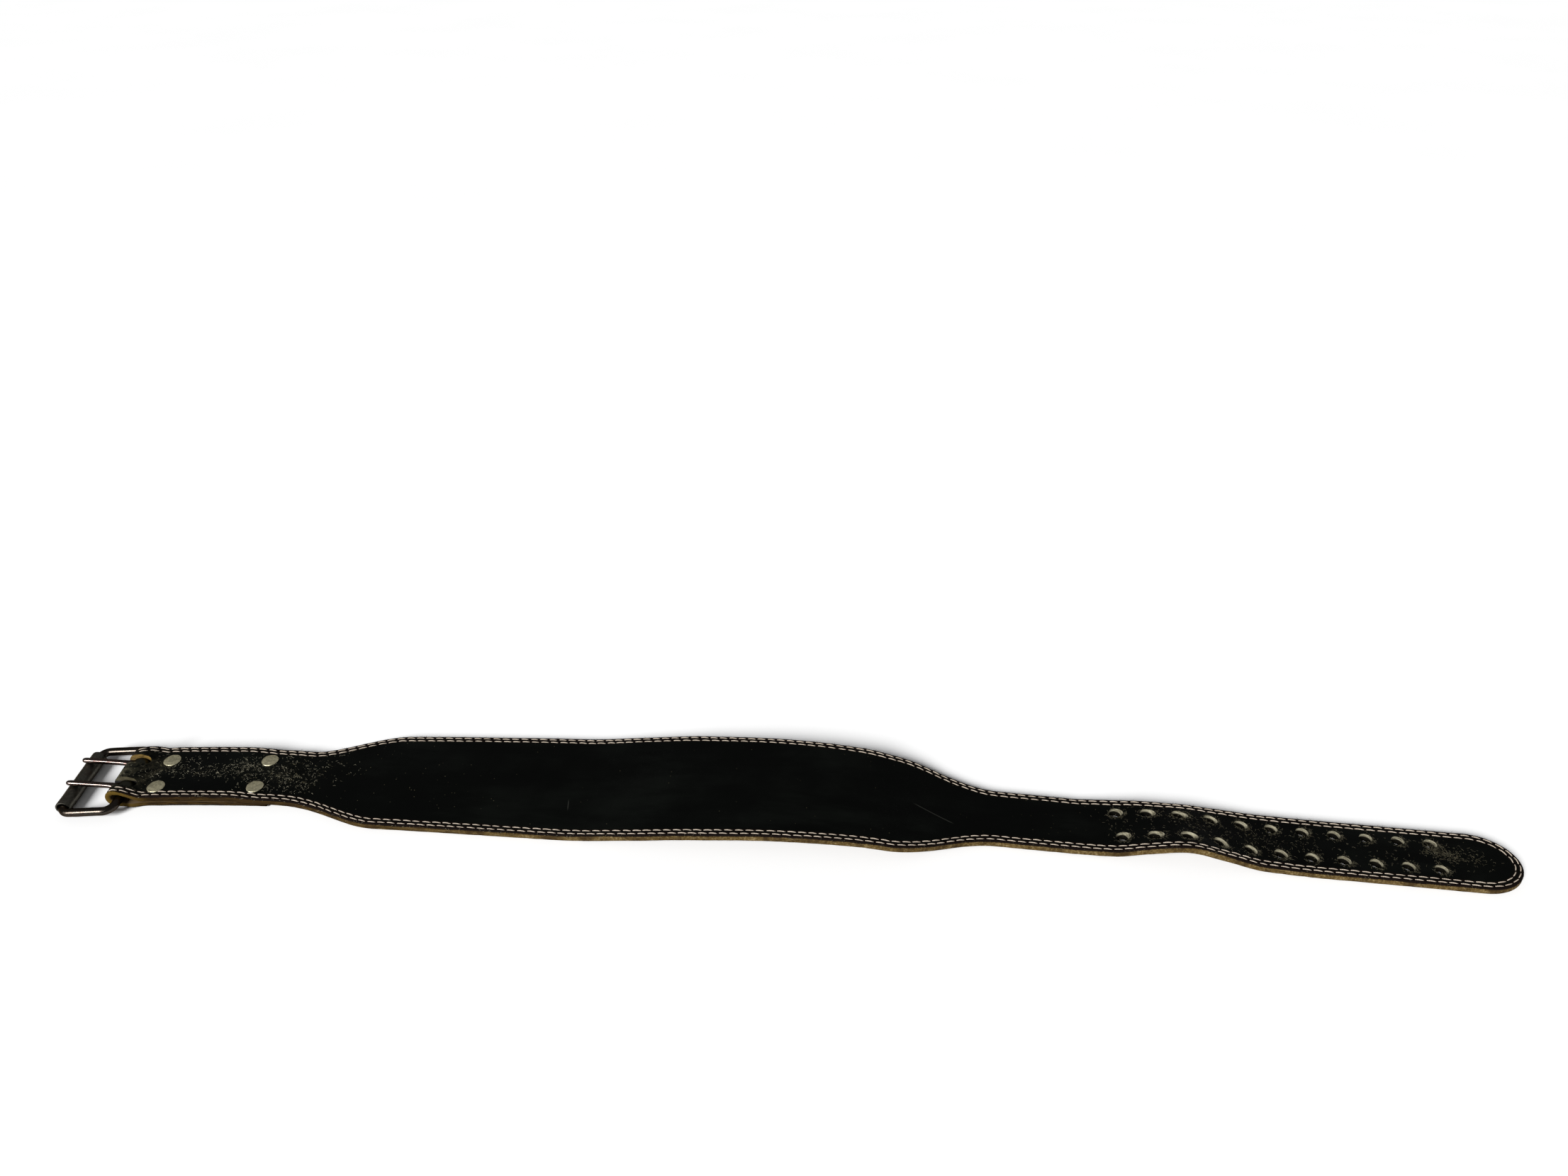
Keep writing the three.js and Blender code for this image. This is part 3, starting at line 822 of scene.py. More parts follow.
def metal_material(name, base, stain, stain_amount, roughness, scale, fine_pits=0.1, eye=None):
    """Plated or bare steel with stains, mottling and hairline scratches.

    A colour for the eye darkens the bent end of a prong, found by its "reach" UV map."""
    material, place = new_material(name, Metallic=1.0, Specular_Tint=(0.4, 0.37, 0.34, 1))
    stained, mottle, scratch = use_group("Tarnish", place, Scale=scale, Amount=stain_amount)
    shade = mottle.step(0.3, 0.7).blend(times(base, 0.62), base)
    shade = (stained * 0.85).blend(shade, stain)
    shade = (scratch * 0.12).blend(shade, times(base, 1.5))
    rough = stained * 0.16 + roughness + mottle * 0.08
    if eye:
        bent = uv_parts(place.tree, "reach")[0].fade(0.9, 1.12)
        shade = (bent * 0.9).blend(shade, eye)
        rough = rough + bent * 0.2
    height = mottle * fine_pits - scratch * 0.05
    return dress(material, shade, height, 0.0003, 0.5, rough)


# Modelling helpers


def deselect():
    if bpy.context.object and bpy.context.object.mode != "OBJECT":
        bpy.ops.object.mode_set(mode="OBJECT")
    bpy.ops.object.select_all(action="DESELECT")


def select_only(piece):
    deselect()
    piece.select_set(True)
    bpy.context.view_layer.objects.active = piece


def edit_all(piece):
    """Opens a piece's mesh with all of it selected."""
    select_only(piece)
    bpy.ops.object.mode_set(mode="EDIT")
    bpy.ops.mesh.select_all(action="SELECT")


def round_of(count):
    """Directions evenly spaced round a circle."""
    turns = [2 * math.pi * k / count for k in range(count)]
    return [Vector((math.cos(turn), math.sin(turn))) for turn in turns]


def set_uv(piece, name, uv_of_point):
    """Adds a UV map that gives each point of the mesh one place."""
    layer = piece.data.uv_layers.new(name=name)
    for loop in piece.data.loops:
        layer.data[loop.index].uv = uv_of_point(loop.vertex_index)


def settle(piece, placement):
    """Puts a piece's place into its mesh, leaving the object at the origin."""
    piece.data.transform(placement @ piece.matrix_world)
    piece.matrix_world = Matrix.Identity(4)
    piece.data.update()


def add_object(name, data):
    made = bpy.data.objects.new(name, data)
    bpy.context.collection.objects.link(made)
    return made


def new_piece(name, points, faces):
    mesh = bpy.data.meshes.new(name)
    mesh.from_pydata(points, [], faces)
    return add_object(name, mesh)


def apply_modifier(piece, kind, **settings):
    select_only(piece)
    modifier = piece.modifiers.new(kind, kind)
    for name, value in settings.items():
        setattr(modifier, name, value)
    bpy.ops.object.modifier_apply(modifier=modifier.name)


def dent(piece, depth, scale, seed):
    """Moves the points of a piece in and out along their normals by a slow noise."""
    shift = Vector((seed * 7.31, seed * 3.17, seed * 5.53))
    points = piece.data.vertices
    moves = [point.normal * depth * noise.noise(point.co * scale + shift) for point in points]
    for point, move in zip(points, moves):
        point.co += move
    piece.data.update()


def shade_by_angle(piece, degrees):
    select_only(piece)
    bpy.ops.object.shade_smooth_by_angle(angle=math.radians(degrees))


def recalculate(piece, threshold=1e-6):
    """Merges doubled points and turns every face outwards."""
    edit_all(piece)
    bpy.ops.mesh.remove_doubles(threshold=threshold)
    bpy.ops.mesh.normals_make_consistent(inside=False)
    bpy.ops.object.mode_set(mode="OBJECT")


def finish_piece(piece, material, body, slot, *replaced):
    if material:
        piece.data.materials.append(material)
    piece.data.name = piece.name
    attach(piece, body)
    if replaced:
        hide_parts(*replaced)


def tube_faces(count, size):
    """Faces of a skin through rings of points, with so many points in each ring."""
    faces = []
    for here in range(0, (count - 1) * size, size):
        for k in range(size):
            side = (k + 1) % size
            faces.append((here + k, here + side, here + size + side, here + size + k))
    return faces


def rod_faces(count, size):
    """Faces of a tube that is closed at both ends."""
    ends = [tuple(reversed(range(size))), tuple(range((count - 1) * size, count * size))]
    return tube_faces(count, size) + ends


def sweep(path, facets):
    """Points and faces of a rod: each stop is (middle, sideways, upwards), both half sizes."""
    points = []
    around = round_of(facets)
    for place, sideways, upwards in path:
        points += [place + sideways * turn.x + upwards * turn.y for turn in around]
    return points, rod_faces(len(path), facets)


def add_rod(points, faces, path, facets):
    """Adds a rod to a piece's points and faces, and returns its faces as numbered by themselves."""
    base = len(points)
    new_points, new_faces = sweep(path, facets)
    points += new_points
    faces += [tuple(base + k for k in face) for face in new_faces]
    return new_faces


# The leather

FOLD_TURNS = 22
TIP_TURNS = 26
TIP_START = LEATHER_LENGTH - TIP_LENGTH
WORN_SHARE = 0.36
WORN_INSET = 3.1
FLAP_BULGE = 1.5
FLAP_BULGE_PLACE = 18


def scuff_at(s, t):
    """How scuffed the dyed face is at a place."""
    left = 1.0
    for along, across, reach_s, reach_t, strength in SCUFFS:
        far = ((s - along) / reach_s) ** 2 + ((t - across) / reach_t) ** 2
        left *= 1 - strength * math.exp(-far)
    return 1 - left


def ring_profile(thickness, half):
    """One side of a ring from the middle of the flesh side to the middle of the dyed face.

    Each stop is (inset from the outline, share of the thickness, rise of the face)."""
    flesh = [(mix(half, 6.0, i / 6), 0, 0) for i in range(7)] + [(3.0, 0, 0), (1.1, 0, 0)]
    wall = [(0.4, 0.02, 0), (0.1, 0.1, 0), (0, 0.25, 0), (0, 0.42, 0), (0, 0.6, 0)]
    wall += [(0.02, 1 - 1.0 / thickness, 0), (0.18, 1 - 0.5 / thickness, 0), (0.5, 1 - 0.15 / thickness, 0)]
    face = [(0.95, 1, 0), (1.4, 1, -0.05), (2.0, 1, -0.3), (2.6, 1, -0.05), (3.4, 1, 0.06)]
    face += [(4.3, 1, -0.05), (4.9, 1, -0.3), (5.5, 1, -0.05), (6.4, 1, 0), (8.5, 1, 0)]
    face += [(mix(8.5, half, (i + 1) / 13), 1, 0) for i in range(12)]
    return flesh + wall + face


def leather_stops():
    """Flesh side, grain side and turn round the tip of each ring, from the flap's end to the tip."""
    stops = []
    loop_end = BAR_SETBACK + LOOP_LENGTH
    for s in stations(FLAP_LENGTH, loop_end, 4) + stations(loop_end, FOLD_SETBACK, 1.2):
        stops.append(((s, flap_top(s)), (s, flap_bottom(s)), 0.0))
    bend = Vector((FOLD_SETBACK, BAR_HEIGHT))
    for i in range(FOLD_TURNS):
        angle = -math.pi / 2 - math.pi * i / FOLD_TURNS
        thickness = mix(FLAP_THICKNESS, FOLD_THICKNESS, ease(i / FOLD_TURNS))
        out = Vector((math.cos(angle), math.sin(angle)))
        stops.append((bend + out * LOOP_RADIUS, bend + out * (LOOP_RADIUS + thickness), 0.0))
    settled = FLAP_LENGTH + SETTLE_LENGTH
    run = stations(FOLD_SETBACK, loop_end, 1.2) + stations(loop_end, settled, 3)
    for s in run + stations(settled, TIP_START, 3.6):
        low = strap_underside(s)
        stops.append(((s, low), (s, low + strap_thickness(s)), 0.0))
    low = strap_underside(TIP_START)
    for i in range(TIP_TURNS + 1):
        turn = math.radians(90) * i / TIP_TURNS
        stops.append(((TIP_START, low), (TIP_START, low + LEATHER_THICKNESS), turn if i else 1e-4))
    return [(Vector(flesh), Vector(grain), turn) for flesh, grain, turn in stops]


def wear_of_rim(s, side, share):
    """How far the wire's bends have worn back the inner rim of the fold."""
    rubbed_off = 2.5 if side == 1 else 0.6
    return rubbed_off * closeness(s, 9) * (1 - share / WORN_SHARE)


def leather_point(stop, half, side, inset, share, rise, swell):
    """A point of a ring, with its places for the "lay", "edge" and "wear" UV maps."""
    flesh, grain, turn = stop
    is_flap = grain.y < flesh.y
    s = mix(flesh.x, grain.x, share)
    if share < WORN_SHARE and inset < WORN_INSET:
        inset += wear_of_rim(s, side, share)
    if turn:
        s += (TIP_LENGTH - inset) * math.sin(turn)
        across = side * (half - inset) * math.cos(turn)
    else:
        across = middle(s) + side * (half - inset)
    depth = (1 - share) * (grain - flesh).length
    if share == 1 and inset > 1:
        # Slow swells of the face
        place = Vector((s * 0.045, across * 0.06, 3.0 if is_flap else 0.0))
        rise += swell * noise.noise(place) + 0.35 * swell * noise.noise(place * 3.7)
    elif inset < 1:
        ragged = Vector((s * 0.35, side * 9.0, depth * 0.9 + (5 if is_flap else 0)))
        across += side * 0.16 * noise.noise(ragged) + side * 0.12 * noise.noise(ragged * 3.1)
    if is_flap and side == -1 and inset < 3:
        # The flap bulges out at its near edge, just behind the fold
        across -= FLAP_BULGE * closeness(s - FLAP_BULGE_PLACE, 5)
    height = mix(flesh.y, grain.y, share)
    outward = (grain - flesh).normalized()
    point = lay(s + outward.x * rise, across, height + outward.y * rise)
    worn = 0.0 if is_flap else scuff_at(s, across)
    patch = noise.noise(Vector((s * 0.03, side * 4, 1)))
    corner = closeness(s, 13) + 0.5 * max(0, patch)
    return point * MM, (s * MM, across * MM), (inset * 0.1, depth * 0.1), (worn, corner)


def leather_rings(swell):
    """Rings of the whole leather, from the flap's end round the fold to the tip."""
    rings = []
    for stop in leather_stops():
        flesh, grain, _ = stop
        half = half_width((flesh.x + grain.x) / 2)
        profile = ring_profile((grain - flesh).length, half)
        ring = [leather_point(stop, half, -1, *place, swell) for place in profile]
        ring += [leather_point(stop, half, 1, *place, swell) for place in reversed(profile)]
        rings.append(ring)
    return rings


def close_rings(name, rings):
    """Joins the rings into one closed skin and keeps what each point carries as UV maps."""
    size = len(rings[0])
    carried = [stop for ring in rings for stop in ring]
    flap_end = [(j + 1, j, size - 1 - j, size - 2 - j) for j in range(size // 2 - 1)]
    faces = tube_faces(len(rings), size) + flap_end
    piece = new_piece(name, [stop[0] for stop in carried], faces)
    for index, uv_name in enumerate(("lay", "edge", "wear"), start=1):
        set_uv(piece, uv_name, lambda point: carried[point][index])
    return piece


def laid_cutter(wall, outline_at, low, high, levels):
    """A closed cutter through the laid belt, which leaves its wall's material on the cut.

    outline_at gives a flat outline of (s, t) for how open the mouth is at a level, and each
    level is (height, openness). Its "edge" UV map has the depth below the face."""
    points, depths = [], []
    levels = [(low - 3, levels[0][1]), *levels, (high + 3, levels[-1][1])]
    for height, openness in levels:
        outline = outline_at(openness)
        points += [lay(s, t, height) * MM for s, t in outline]
        depths += [(high - height) * 0.1] * len(outline)
    cutter = new_piece("cutter", points, rod_faces(len(levels), len(outline)))
    set_uv(cutter, "edge", lambda point: (1.0, depths[point]))
    cutter.data.materials.append(wall)
    return cutter


def hole_outline(s, t, drag, openness, seed):
    """A slightly uneven circle whose mouth a prong has dragged to one side."""
    outline = []
    pull = Vector(drag)
    heading = pull.normalized()
    for out in round_of(32):
        uneven = 1 + 0.04 * noise.noise(Vector((out.x, out.y, seed * 1.7))) + 0.22 * min(0, openness)
        place = Vector((s, t)) + out * HOLE_DIAMETER / 2 * uneven
        place += pull * max(0, openness) * max(0, out.dot(heading)) ** 1.4
        outline.append(tuple(place))
    return outline


def disc_outline(s, t, radius):
    return [(s + radius * turn.x, t + radius * turn.y) for turn in round_of(40)]


def slot_outline(t, half):
    """A slot that is open at the fold's end and round at the other."""
    outline = [(-FOLD_SETBACK, t - half)]
    steps = 14
    for k in range(steps + 1):
        angle = -math.pi / 2 + math.pi * k / steps
        outline.append((SLOT_LENGTH - half + half * math.cos(angle), t + half * math.sin(angle)))
    outline.append((-FOLD_SETBACK, t + half))
    return outline


def join(pieces):
    deselect()
    for piece in pieces:
        piece.select_set(True)
    bpy.context.view_layer.objects.active = pieces[0]
    bpy.ops.object.join()
    return bpy.context.view_layer.objects.active


class MESH_OT_belt_leather(bpy.types.Operator):
    """Build the leather with its fold, slots and punched holes"""

    bl_idname = "mesh.belt_leather"
    bl_label = "Leather"

    def execute(self, context):
        settings = context.scene.belt_leather
        body = close_rings("leather_body", leather_rings(settings.unevenness / MM))
        recalculate(body)
        body.data.materials.append(leather_material(settings))
        far_wall = cut_material(
            "slot_wall_far", (0.03, 0.017, 0.004), (0.19, 0.12, 0.03), roughness=0.42, painted_shade_depth=5.2
        )
        # Painted shade: the near slot's wall is a darker, greyer copy of the same cut leather as the far
        # slot's wall
        shaded_near_wall = cut_material(
            "slot_wall_near_shaded", (0.018, 0.015, 0.008), (0.075, 0.064, 0.034), roughness=0.5, painted_shade_depth=3.4
        )
        hole_wall = cut_material(
            "hole_wall", (0.06, 0.052, 0.033), (0.27, 0.25, 0.18), roughness=0.75, painted_shade_depth=1.8, gloss=0.03
        )

        cutters = []
        half = PRONG_EYE_WIDTH / 2 + SLOT_CLEARANCE
        top = BAR_HEIGHT + FOLD_SETBACK
        for t, wall in zip(SLOT_PLACES, (shaded_near_wall, far_wall)):
            cutters.append(laid_cutter(wall, lambda _: slot_outline(t, half), -4, top, [(0, 0)]))
        top = LEATHER_THICKNESS
        mouth = [(0.5, -1.0), (1.6, -0.5), (top - 2.2, 0.0), (top - 1.2, 0.14)]
        mouth += [(top - 0.6, 0.4), (top - 0.2, 0.65), (top + 0.2, 0.85)]
        for seed, (s, t, drag) in enumerate(HOLE_PLACES):

            def outline_at(openness):
                return hole_outline(s, t, drag, openness, seed)

            cutters.append(laid_cutter(hole_wall, outline_at, 0, top, mouth))
        recess = RIVET_BACK_DIAMETER / 2 + 0.2
        for s, t in RIVET_PLACES.values():
            disc = disc_outline(s, t, recess)
            seat = flap_bottom(s)
            levels = [(seat - 2.7, 0)]
            cutters.append(laid_cutter(shaded_near_wall, lambda _: disc, seat - 3, seat - 2.5, levels))
        tool = join(cutters)
        recalculate(tool)
        cut = {"operation": "DIFFERENCE", "solver": "EXACT", "material_mode": "TRANSFER"}
        apply_modifier(body, "BOOLEAN", object=tool, **cut)
        bpy.data.objects.remove(tool)
        shade_by_angle(body, 35)
        finish_piece(body, None, "belt", "leather", "leather")
        return {"FINISHED"}


# The stitching


def row_line(inset, start):
    """The line of a stitch row on the flat belt, from the near fold round the tip to the far fold."""
    run = stations(start, TIP_START, 1.0)
    near = [(s, middle(s) - half_width(s) + inset) for s in run]
    half = half_width(TIP_START)
    turns = 60
    tip = []
    for i in range(turns + 1):
        turn = -math.pi / 2 + math.pi * i / turns
        reach = (TIP_LENGTH - inset) * math.cos(turn)
        tip.append((TIP_START + reach, (half - inset) * math.sin(turn)))
    far = [(s, middle(s) + half_width(s) - inset) for s in reversed(run)]
    return near + tip + far


def along_line(line):
    """Measures a line, and returns its length and a function from a distance to its place."""
    reach = [0.0]
    for before, after in zip(line, line[1:]):
        reach.append(reach[-1] + math.dist(before, after))

    def place(distance):
        i = bisect_right(reach, distance, 1, len(reach) - 1)
        u = clamp((distance - reach[i - 1]) / (reach[i] - reach[i - 1]))
        (s, t), (next_s, next_t) = line[i - 1], line[i]
        return mix(s, next_s, u), mix(t, next_t, u)

    return reach[-1], place


def stitch_points(place, start, length, radius, height_at, crest, dip, steps, rng):
    """One stitch: a thread that rises out of its hole, lies along the row and dips again."""
    skew = rng.uniform(0.14, 0.36)
    push = rng.uniform(-0.12, 0.12)
    middles = []
    for i in range(steps + 1):
        u = i / steps
        s, t = place(start + length * u)
        before, after = place(start + length * u - 0.2), place(start + length * u + 0.2)
        heading = Vector((after[0] - before[0], after[1] - before[1])).normalized()
        off = skew * (0.5 - u) * 2 + push
        arch = math.sin(math.pi * u) ** 0.55
        h = height_at(s) + mix(dip, crest, arch)
        middles.append(lay(s - heading.y * off, t + heading.x * off, h) * MM)
    path = []
    for i, here in enumerate(middles):
        ahead = (middles[min(i + 1, steps)] - middles[max(i - 1, 0)]).normalized()
        up = directions(*place(start + length * i / steps))[2]
        sideways = ahead.cross(up).normalized()
        upwards = sideways.cross(ahead).normalized()
        size = radius * MM * (0.82 + 0.18 * math.sin(math.pi * i / steps) ** 0.5)
        path.append((here, sideways * size, upwards * size * 0.86))
    return path


def stitch_rows(name, settings, height_at, crest, dip, facets, steps, start, seed):
    """Both rows of stitches on one side of the leather, as one mesh with a twist UV map."""
    rng = random.Random(seed)
    points, faces, twist = [], [], []
    pitch, length = settings.pitch / MM, settings.length / MM
    radius = settings.thickness / MM / 2
    for row, inset in enumerate(STITCH_ROWS):
        total, place = along_line(row_line(inset, start))
        count = int((total - 1) / pitch)
        for i in range(count):
            begin = 0.5 + (i + 0.45 * row) * pitch
            if begin + length > total:
                continue
            jitter = rng.uniform(-0.15, 0.15)
            seen = length * rng.uniform(0.95, 1.04)
            thick = radius * rng.uniform(0.94, 1.06)
            path = stitch_points(place, begin + jitter, seen, thick, height_at, crest, dip, steps, rng)
            for face in add_rod(points, faces, path, facets):
                for k in face:
                    ring = k // facets
                    side = (k % facets) / facets
                    if len(face) == 4 and side == 0 and max(q % facets for q in face) == facets - 1:
                        side = 1.0
                    twist.append((side, ring / steps))
    piece = new_piece(name, points, faces)
    layer = piece.data.uv_layers.new(name="thread")
    for loop, uv in zip(layer.data, twist):
        loop.uv = uv
    for polygon in piece.data.polygons:
        polygon.use_smooth = len(polygon.vertices) == 4
    return piece


class MESH_OT_belt_stitches(bpy.types.Operator):
    """Build the two rows of stitches on the face and on the inner side"""

    bl_idname = "mesh.belt_stitches"
    bl_label = "Stitches"

    def execute(self, context):
        settings = context.scene.belt_thread
        thread = {"crest": 0.02, "dip": -0.8, "facets": 8, "steps": 9}
        face_rows = stitch_rows("stitches_face", settings, strap_top, start=2.6, seed=11, **thread)
        waxed = thread_material(settings)
        finish_piece(face_rows, waxed, "belt", "leather")

        def inner_height(s):
            return flap_bottom(s) + 0.35 if s < FLAP_LENGTH - 1 else strap_underside(s) + 0.35

        thread = {"crest": 0.0, "dip": 0.75, "facets": 6, "steps": 6}
        back_rows = stitch_rows("stitches_inner", settings, inner_height, start=12, seed=12, **thread)
        finish_piece(back_rows, waxed, "belt", "leather")
        return {"FINISHED"}


def fibre_place(rng):
    """A random place for a loose fibre: by scuffs, hole rims, or along the raw edge."""
    pick = rng.random()
    if pick < 0.3:
        s, t, drag = rng.choice(HOLE_PLACES)
        angle = rng.gauss(-0.7, 1.3)
        away = HOLE_DIAMETER / 2 + 0.3 + abs(rng.gauss(0.2, 1.0))
        reach = max(0, math.cos(angle))
        s += away * math.cos(angle) + drag[0] * reach
        return s, t + away * math.sin(angle) + drag[1] * reach, 0.0
    if pick < 0.52:
        s = rng.uniform(8, TIP_START)
        side = rng.choice((-1, 1))
        return s, middle(s) + side * (half_width(s) - rng.uniform(0.0, 0.5)), rng.uniform(0.2, 1.8)
    while True:
        along, across, reach_s, reach_t, strength = rng.choice(SCUFFS[:9] + SCUFFS[14:])
        if rng.random() < strength:
            s = rng.gauss(along, reach_s * 0.6)
            t = rng.gauss(across, reach_t * 0.5)
            limit = half_width(s) - 6.5
            if 4 < s < LEATHER_LENGTH - 12 and abs(t - middle(s)) < limit:
                return s, t, 0.0


class MESH_OT_belt_fibres(bpy.types.Operator):
    """Build the loose fibres that wear has raised from the leather"""

    bl_idname = "mesh.belt_fibres"
    bl_label = "Loose fibres"

    def execute(self, context):
        rng = random.Random(29)
        points, faces = [], []
        for _ in range(context.scene.belt_thread.fibres):
            s, t, below = fibre_place(rng)
            off_slot = min(abs(t - middle_line) for middle_line in SLOT_PLACES)
            if s < SLOT_LENGTH + 8 and off_slot < PRONG_EYE_WIDTH / 2 + 3:
                continue
            heading = rng.uniform(0, 2 * math.pi)
            curl = rng.uniform(-0.9, 0.9)
            step = rng.uniform(0.22, 0.6)
            radius = rng.uniform(0.05, 0.095)
            path = []
            steps = 5
            for i in range(steps):
                rise = 0.12 + 0.42 * math.sin(math.pi * i / (steps - 1)) * rng.uniform(0.5, 1)
                here = lay(s, t, strap_top(s) - below + rise) * MM
                size = radius * MM * (1 - 0.5 * i / steps)
                ahead = Vector((math.cos(heading), math.sin(heading), 0))
                sideways = Vector((-ahead.y, ahead.x, 0))
                path.append((here, sideways * size, Vector((0, 0, size))))
                s += step * ahead.x
                t += step * ahead.y
                heading += curl
            add_rod(points, faces, path, 3)
        piece = new_piece("loose_fibres", points, faces)
        finish_piece(piece, fibre_material(), "belt", "leather")
        return {"FINISHED"}


# The buckle


def buckle_matrix():
    return lay_matrix(BAR_SETBACK, 0, BAR_HEIGHT)


def frame_tilt():
    return math.asin((BAR_HEIGHT - FRONT_BAR_HEIGHT) / BAR_SPACING)


def roller_centre():
    """Where the roller lies, as far forward as the bends at the bar's ends let it."""
    straight = (FRAME_WIDTH - WIRE_DIAMETER) / 2 - FRAME_CORNER_RADIUS
    overhang = max(0, ROLLER_LENGTH / 2 - straight)
    bend = overhang**2 / (2 * FRAME_CORNER_RADIUS)
    slack = ROLLER_DIAMETER / 2 - ROLLER_WALL - WIRE_RADIUS - GAP - bend
    sag = FRONT_BAR_HEIGHT - ROLLER_DIAMETER / 2
    forward = BAR_SPACING * math.cos(frame_tilt()) + math.sqrt(slack**2 - sag**2)
    return Vector((-forward, FRAME_OFFSET, ROLLER_DIAMETER / 2 - BAR_HEIGHT))


class MESH_OT_belt_frame(bpy.types.Operator):
    """Build the bent wire frame of the buckle"""

    bl_idname = "mesh.belt_frame"
    bl_label = "Buckle frame"

    def execute(self, context):
        settings = context.scene.belt_buckle
        half = (FRAME_WIDTH - WIRE_DIAMETER) / 2
        corner = FRAME_CORNER_RADIUS
        deselect()
        bpy.ops.mesh.primitive_circle_add(
            vertices=28, radius=WIRE_RADIUS, location=(0, -half + corner, 0), rotation=(math.pi / 2, 0, 0)
        )
        piece = context.object
        piece.name = "frame_wire"
        bpy.ops.object.transform_apply(location=True, rotation=True, scale=True)
        edit_all(piece)

        def straight(move, steps):
            for _ in range(steps):
                share = Vector(move) / steps
                bpy.ops.mesh.extrude_region_move(TRANSFORM_OT_translate={"value": tuple(share)})

        def bend(x, y):
            bpy.ops.mesh.spin(steps=10, angle=math.radians(-90), center=(x, y, 0), axis=(0, 0, 1))

        long_side = 2 * (half - corner)
        short_side = BAR_SPACING - 2 * corner
        straight((0, long_side, 0), 18)
        bend(-corner, half - corner)
        straight((-short_side, 0, 0), 8)
        bend(-BAR_SPACING + corner, half - corner)
        straight((0, -long_side, 0), 18)
        bend(-BAR_SPACING + corner, -half + corner)
        straight((short_side, 0, 0), 8)
        bend(-corner, -half + corner)
        bpy.ops.object.mode_set(mode="OBJECT")
        tilt = Matrix.Rotation(-frame_tilt(), 4, "Y")
        settle(piece, buckle_matrix() @ Matrix.Translation((0, FRAME_OFFSET, 0)) @ tilt)
        recalculate(piece, 2e-5)
        dent(piece, settings.dents, scale=160, seed=1)
        shade_by_angle(piece, 60)
        tarnished = {"stain": (0.034, 0.022, 0.017), "stain_amount": 0.5}
        steel = metal_material("frame_wire_steel", settings.frame, roughness=0.18, scale=150.0, **tarnished)
        finish_piece(piece, steel, "frame", "frame_steel", "buckle_frame")
        return {"FINISHED"}


class MESH_OT_belt_roller(bpy.types.Operator):
    """Build the rolled sheet tube on the front bar"""

    bl_idname = "mesh.belt_roller"
    bl_label = "Roller"

    def execute(self, context):
        settings = context.scene.belt_buckle
        deselect()
        bpy.ops.mesh.primitive_cylinder_add(
            vertices=64,
            radius=ROLLER_DIAMETER / 2,
            depth=ROLLER_LENGTH,
            end_fill_type="NOTHING",
            rotation=(math.pi / 2, 0, 0),
        )
        piece = context.object
        piece.name = "roller_tube"
        bpy.ops.object.transform_apply(location=True, rotation=True, scale=True)

        # The seam where the sheet's two edges meet lies underneath
        bm = bmesh.new()
        bm.from_mesh(piece.data)
        lowest = min(bm.faces, key=lambda face: face.calc_center_median().z)
        bmesh.ops.delete(bm, geom=[lowest], context="FACES_ONLY")
        bm.to_mesh(piece.data)
        bm.free()
        bpy.ops.object.mode_set(mode="EDIT")
        for k in range(1, 22):
            bpy.ops.mesh.select_all(action="SELECT")
            bpy.ops.mesh.bisect(plane_co=(0, ROLLER_LENGTH * (k / 22 - 0.5), 0), plane_no=(0, 1, 0))
        bpy.ops.object.mode_set(mode="OBJECT")
        apply_modifier(piece, "SOLIDIFY", thickness=ROLLER_WALL, offset=-1)
        rims = {"limit_method": "ANGLE", "angle_limit": math.radians(50)}
        apply_modifier(piece, "BEVEL", width=0.18, segments=2, **rims)
        settle(piece, buckle_matrix() @ Matrix.Translation(roller_centre()))
        dent(piece, settings.dents * 1.3, scale=130, seed=2)
        shade_by_angle(piece, 40)
        tarnished = {"stain": (0.075, 0.056, 0.042), "stain_amount": 0.5}
        steel = metal_material(
            "roller_sheet_steel", settings.roller, roughness=0.34, scale=110.0, fine_pits=0.5, **tarnished
        )
        finish_piece(piece, steel, "roller", "roller_steel", "roller")
        return {"FINISHED"}


def prong_path():
    """Side view of a prong: eye round the bar at the origin, neck, and shank to the roller."""
    centre = roller_centre()
    eye_radius = WIRE_RADIUS + GAP + PRONG_EYE_THICKNESS / 2
    tip_x = centre.x - PRONG_REACH
    rest_z = centre.z + ROLLER_DIAMETER / 2 + GAP + PRONG_DIAMETER / 2
    root = Vector((-PRONG_NECK_LENGTH, 0, PRONG_NECK_HEIGHT))
    slope = math.atan2(rest_z - root.z, root.x - centre.x)
    stops = []
    for i in range(EYE_STOPS):
        turn = math.radians(mix(PRONG_EYE_TURN, -PRONG_NECK_TURN, i / (EYE_STOPS - 1)))
        place = Vector((eye_radius * math.sin(turn), 0, eye_radius * math.cos(turn)))
        swell = 0.93 if i == 0 else 1.0
        stops.append((place, PRONG_EYE_THICKNESS * swell, PRONG_EYE_WIDTH * swell))
    heading = Vector((-math.cos(slope), 0, math.sin(slope)))
    length = (root.x - tip_x) / math.cos(slope)
    shank = (
        (-0.045, 0.64, 1.56),
        (0.0, 0.76, 1.38),
        (0.04, 0.86, 1.24),
        (0.085, 0.94, 1.13),
        (0.14, 0.99, 1.05),
        (0.22, 1, 1),
        (0.35, 1, 1),
        (0.5, 1, 1),
        (0.65, 1, 1),
        (0.8, 1, 1),
        (0.9, 0.99, 0.99),
        (0.94, 0.94, 0.94),
        (0.965, 0.84, 0.84),
        (0.982, 0.68, 0.68),
        (0.994, 0.44, 0.44),
        (1, 0.18, 0.18),
    )
    for along, thick, wide in shank:
        stops.append((root + heading * along * length, PRONG_DIAMETER * thick, PRONG_DIAMETER * wide))
    return stops


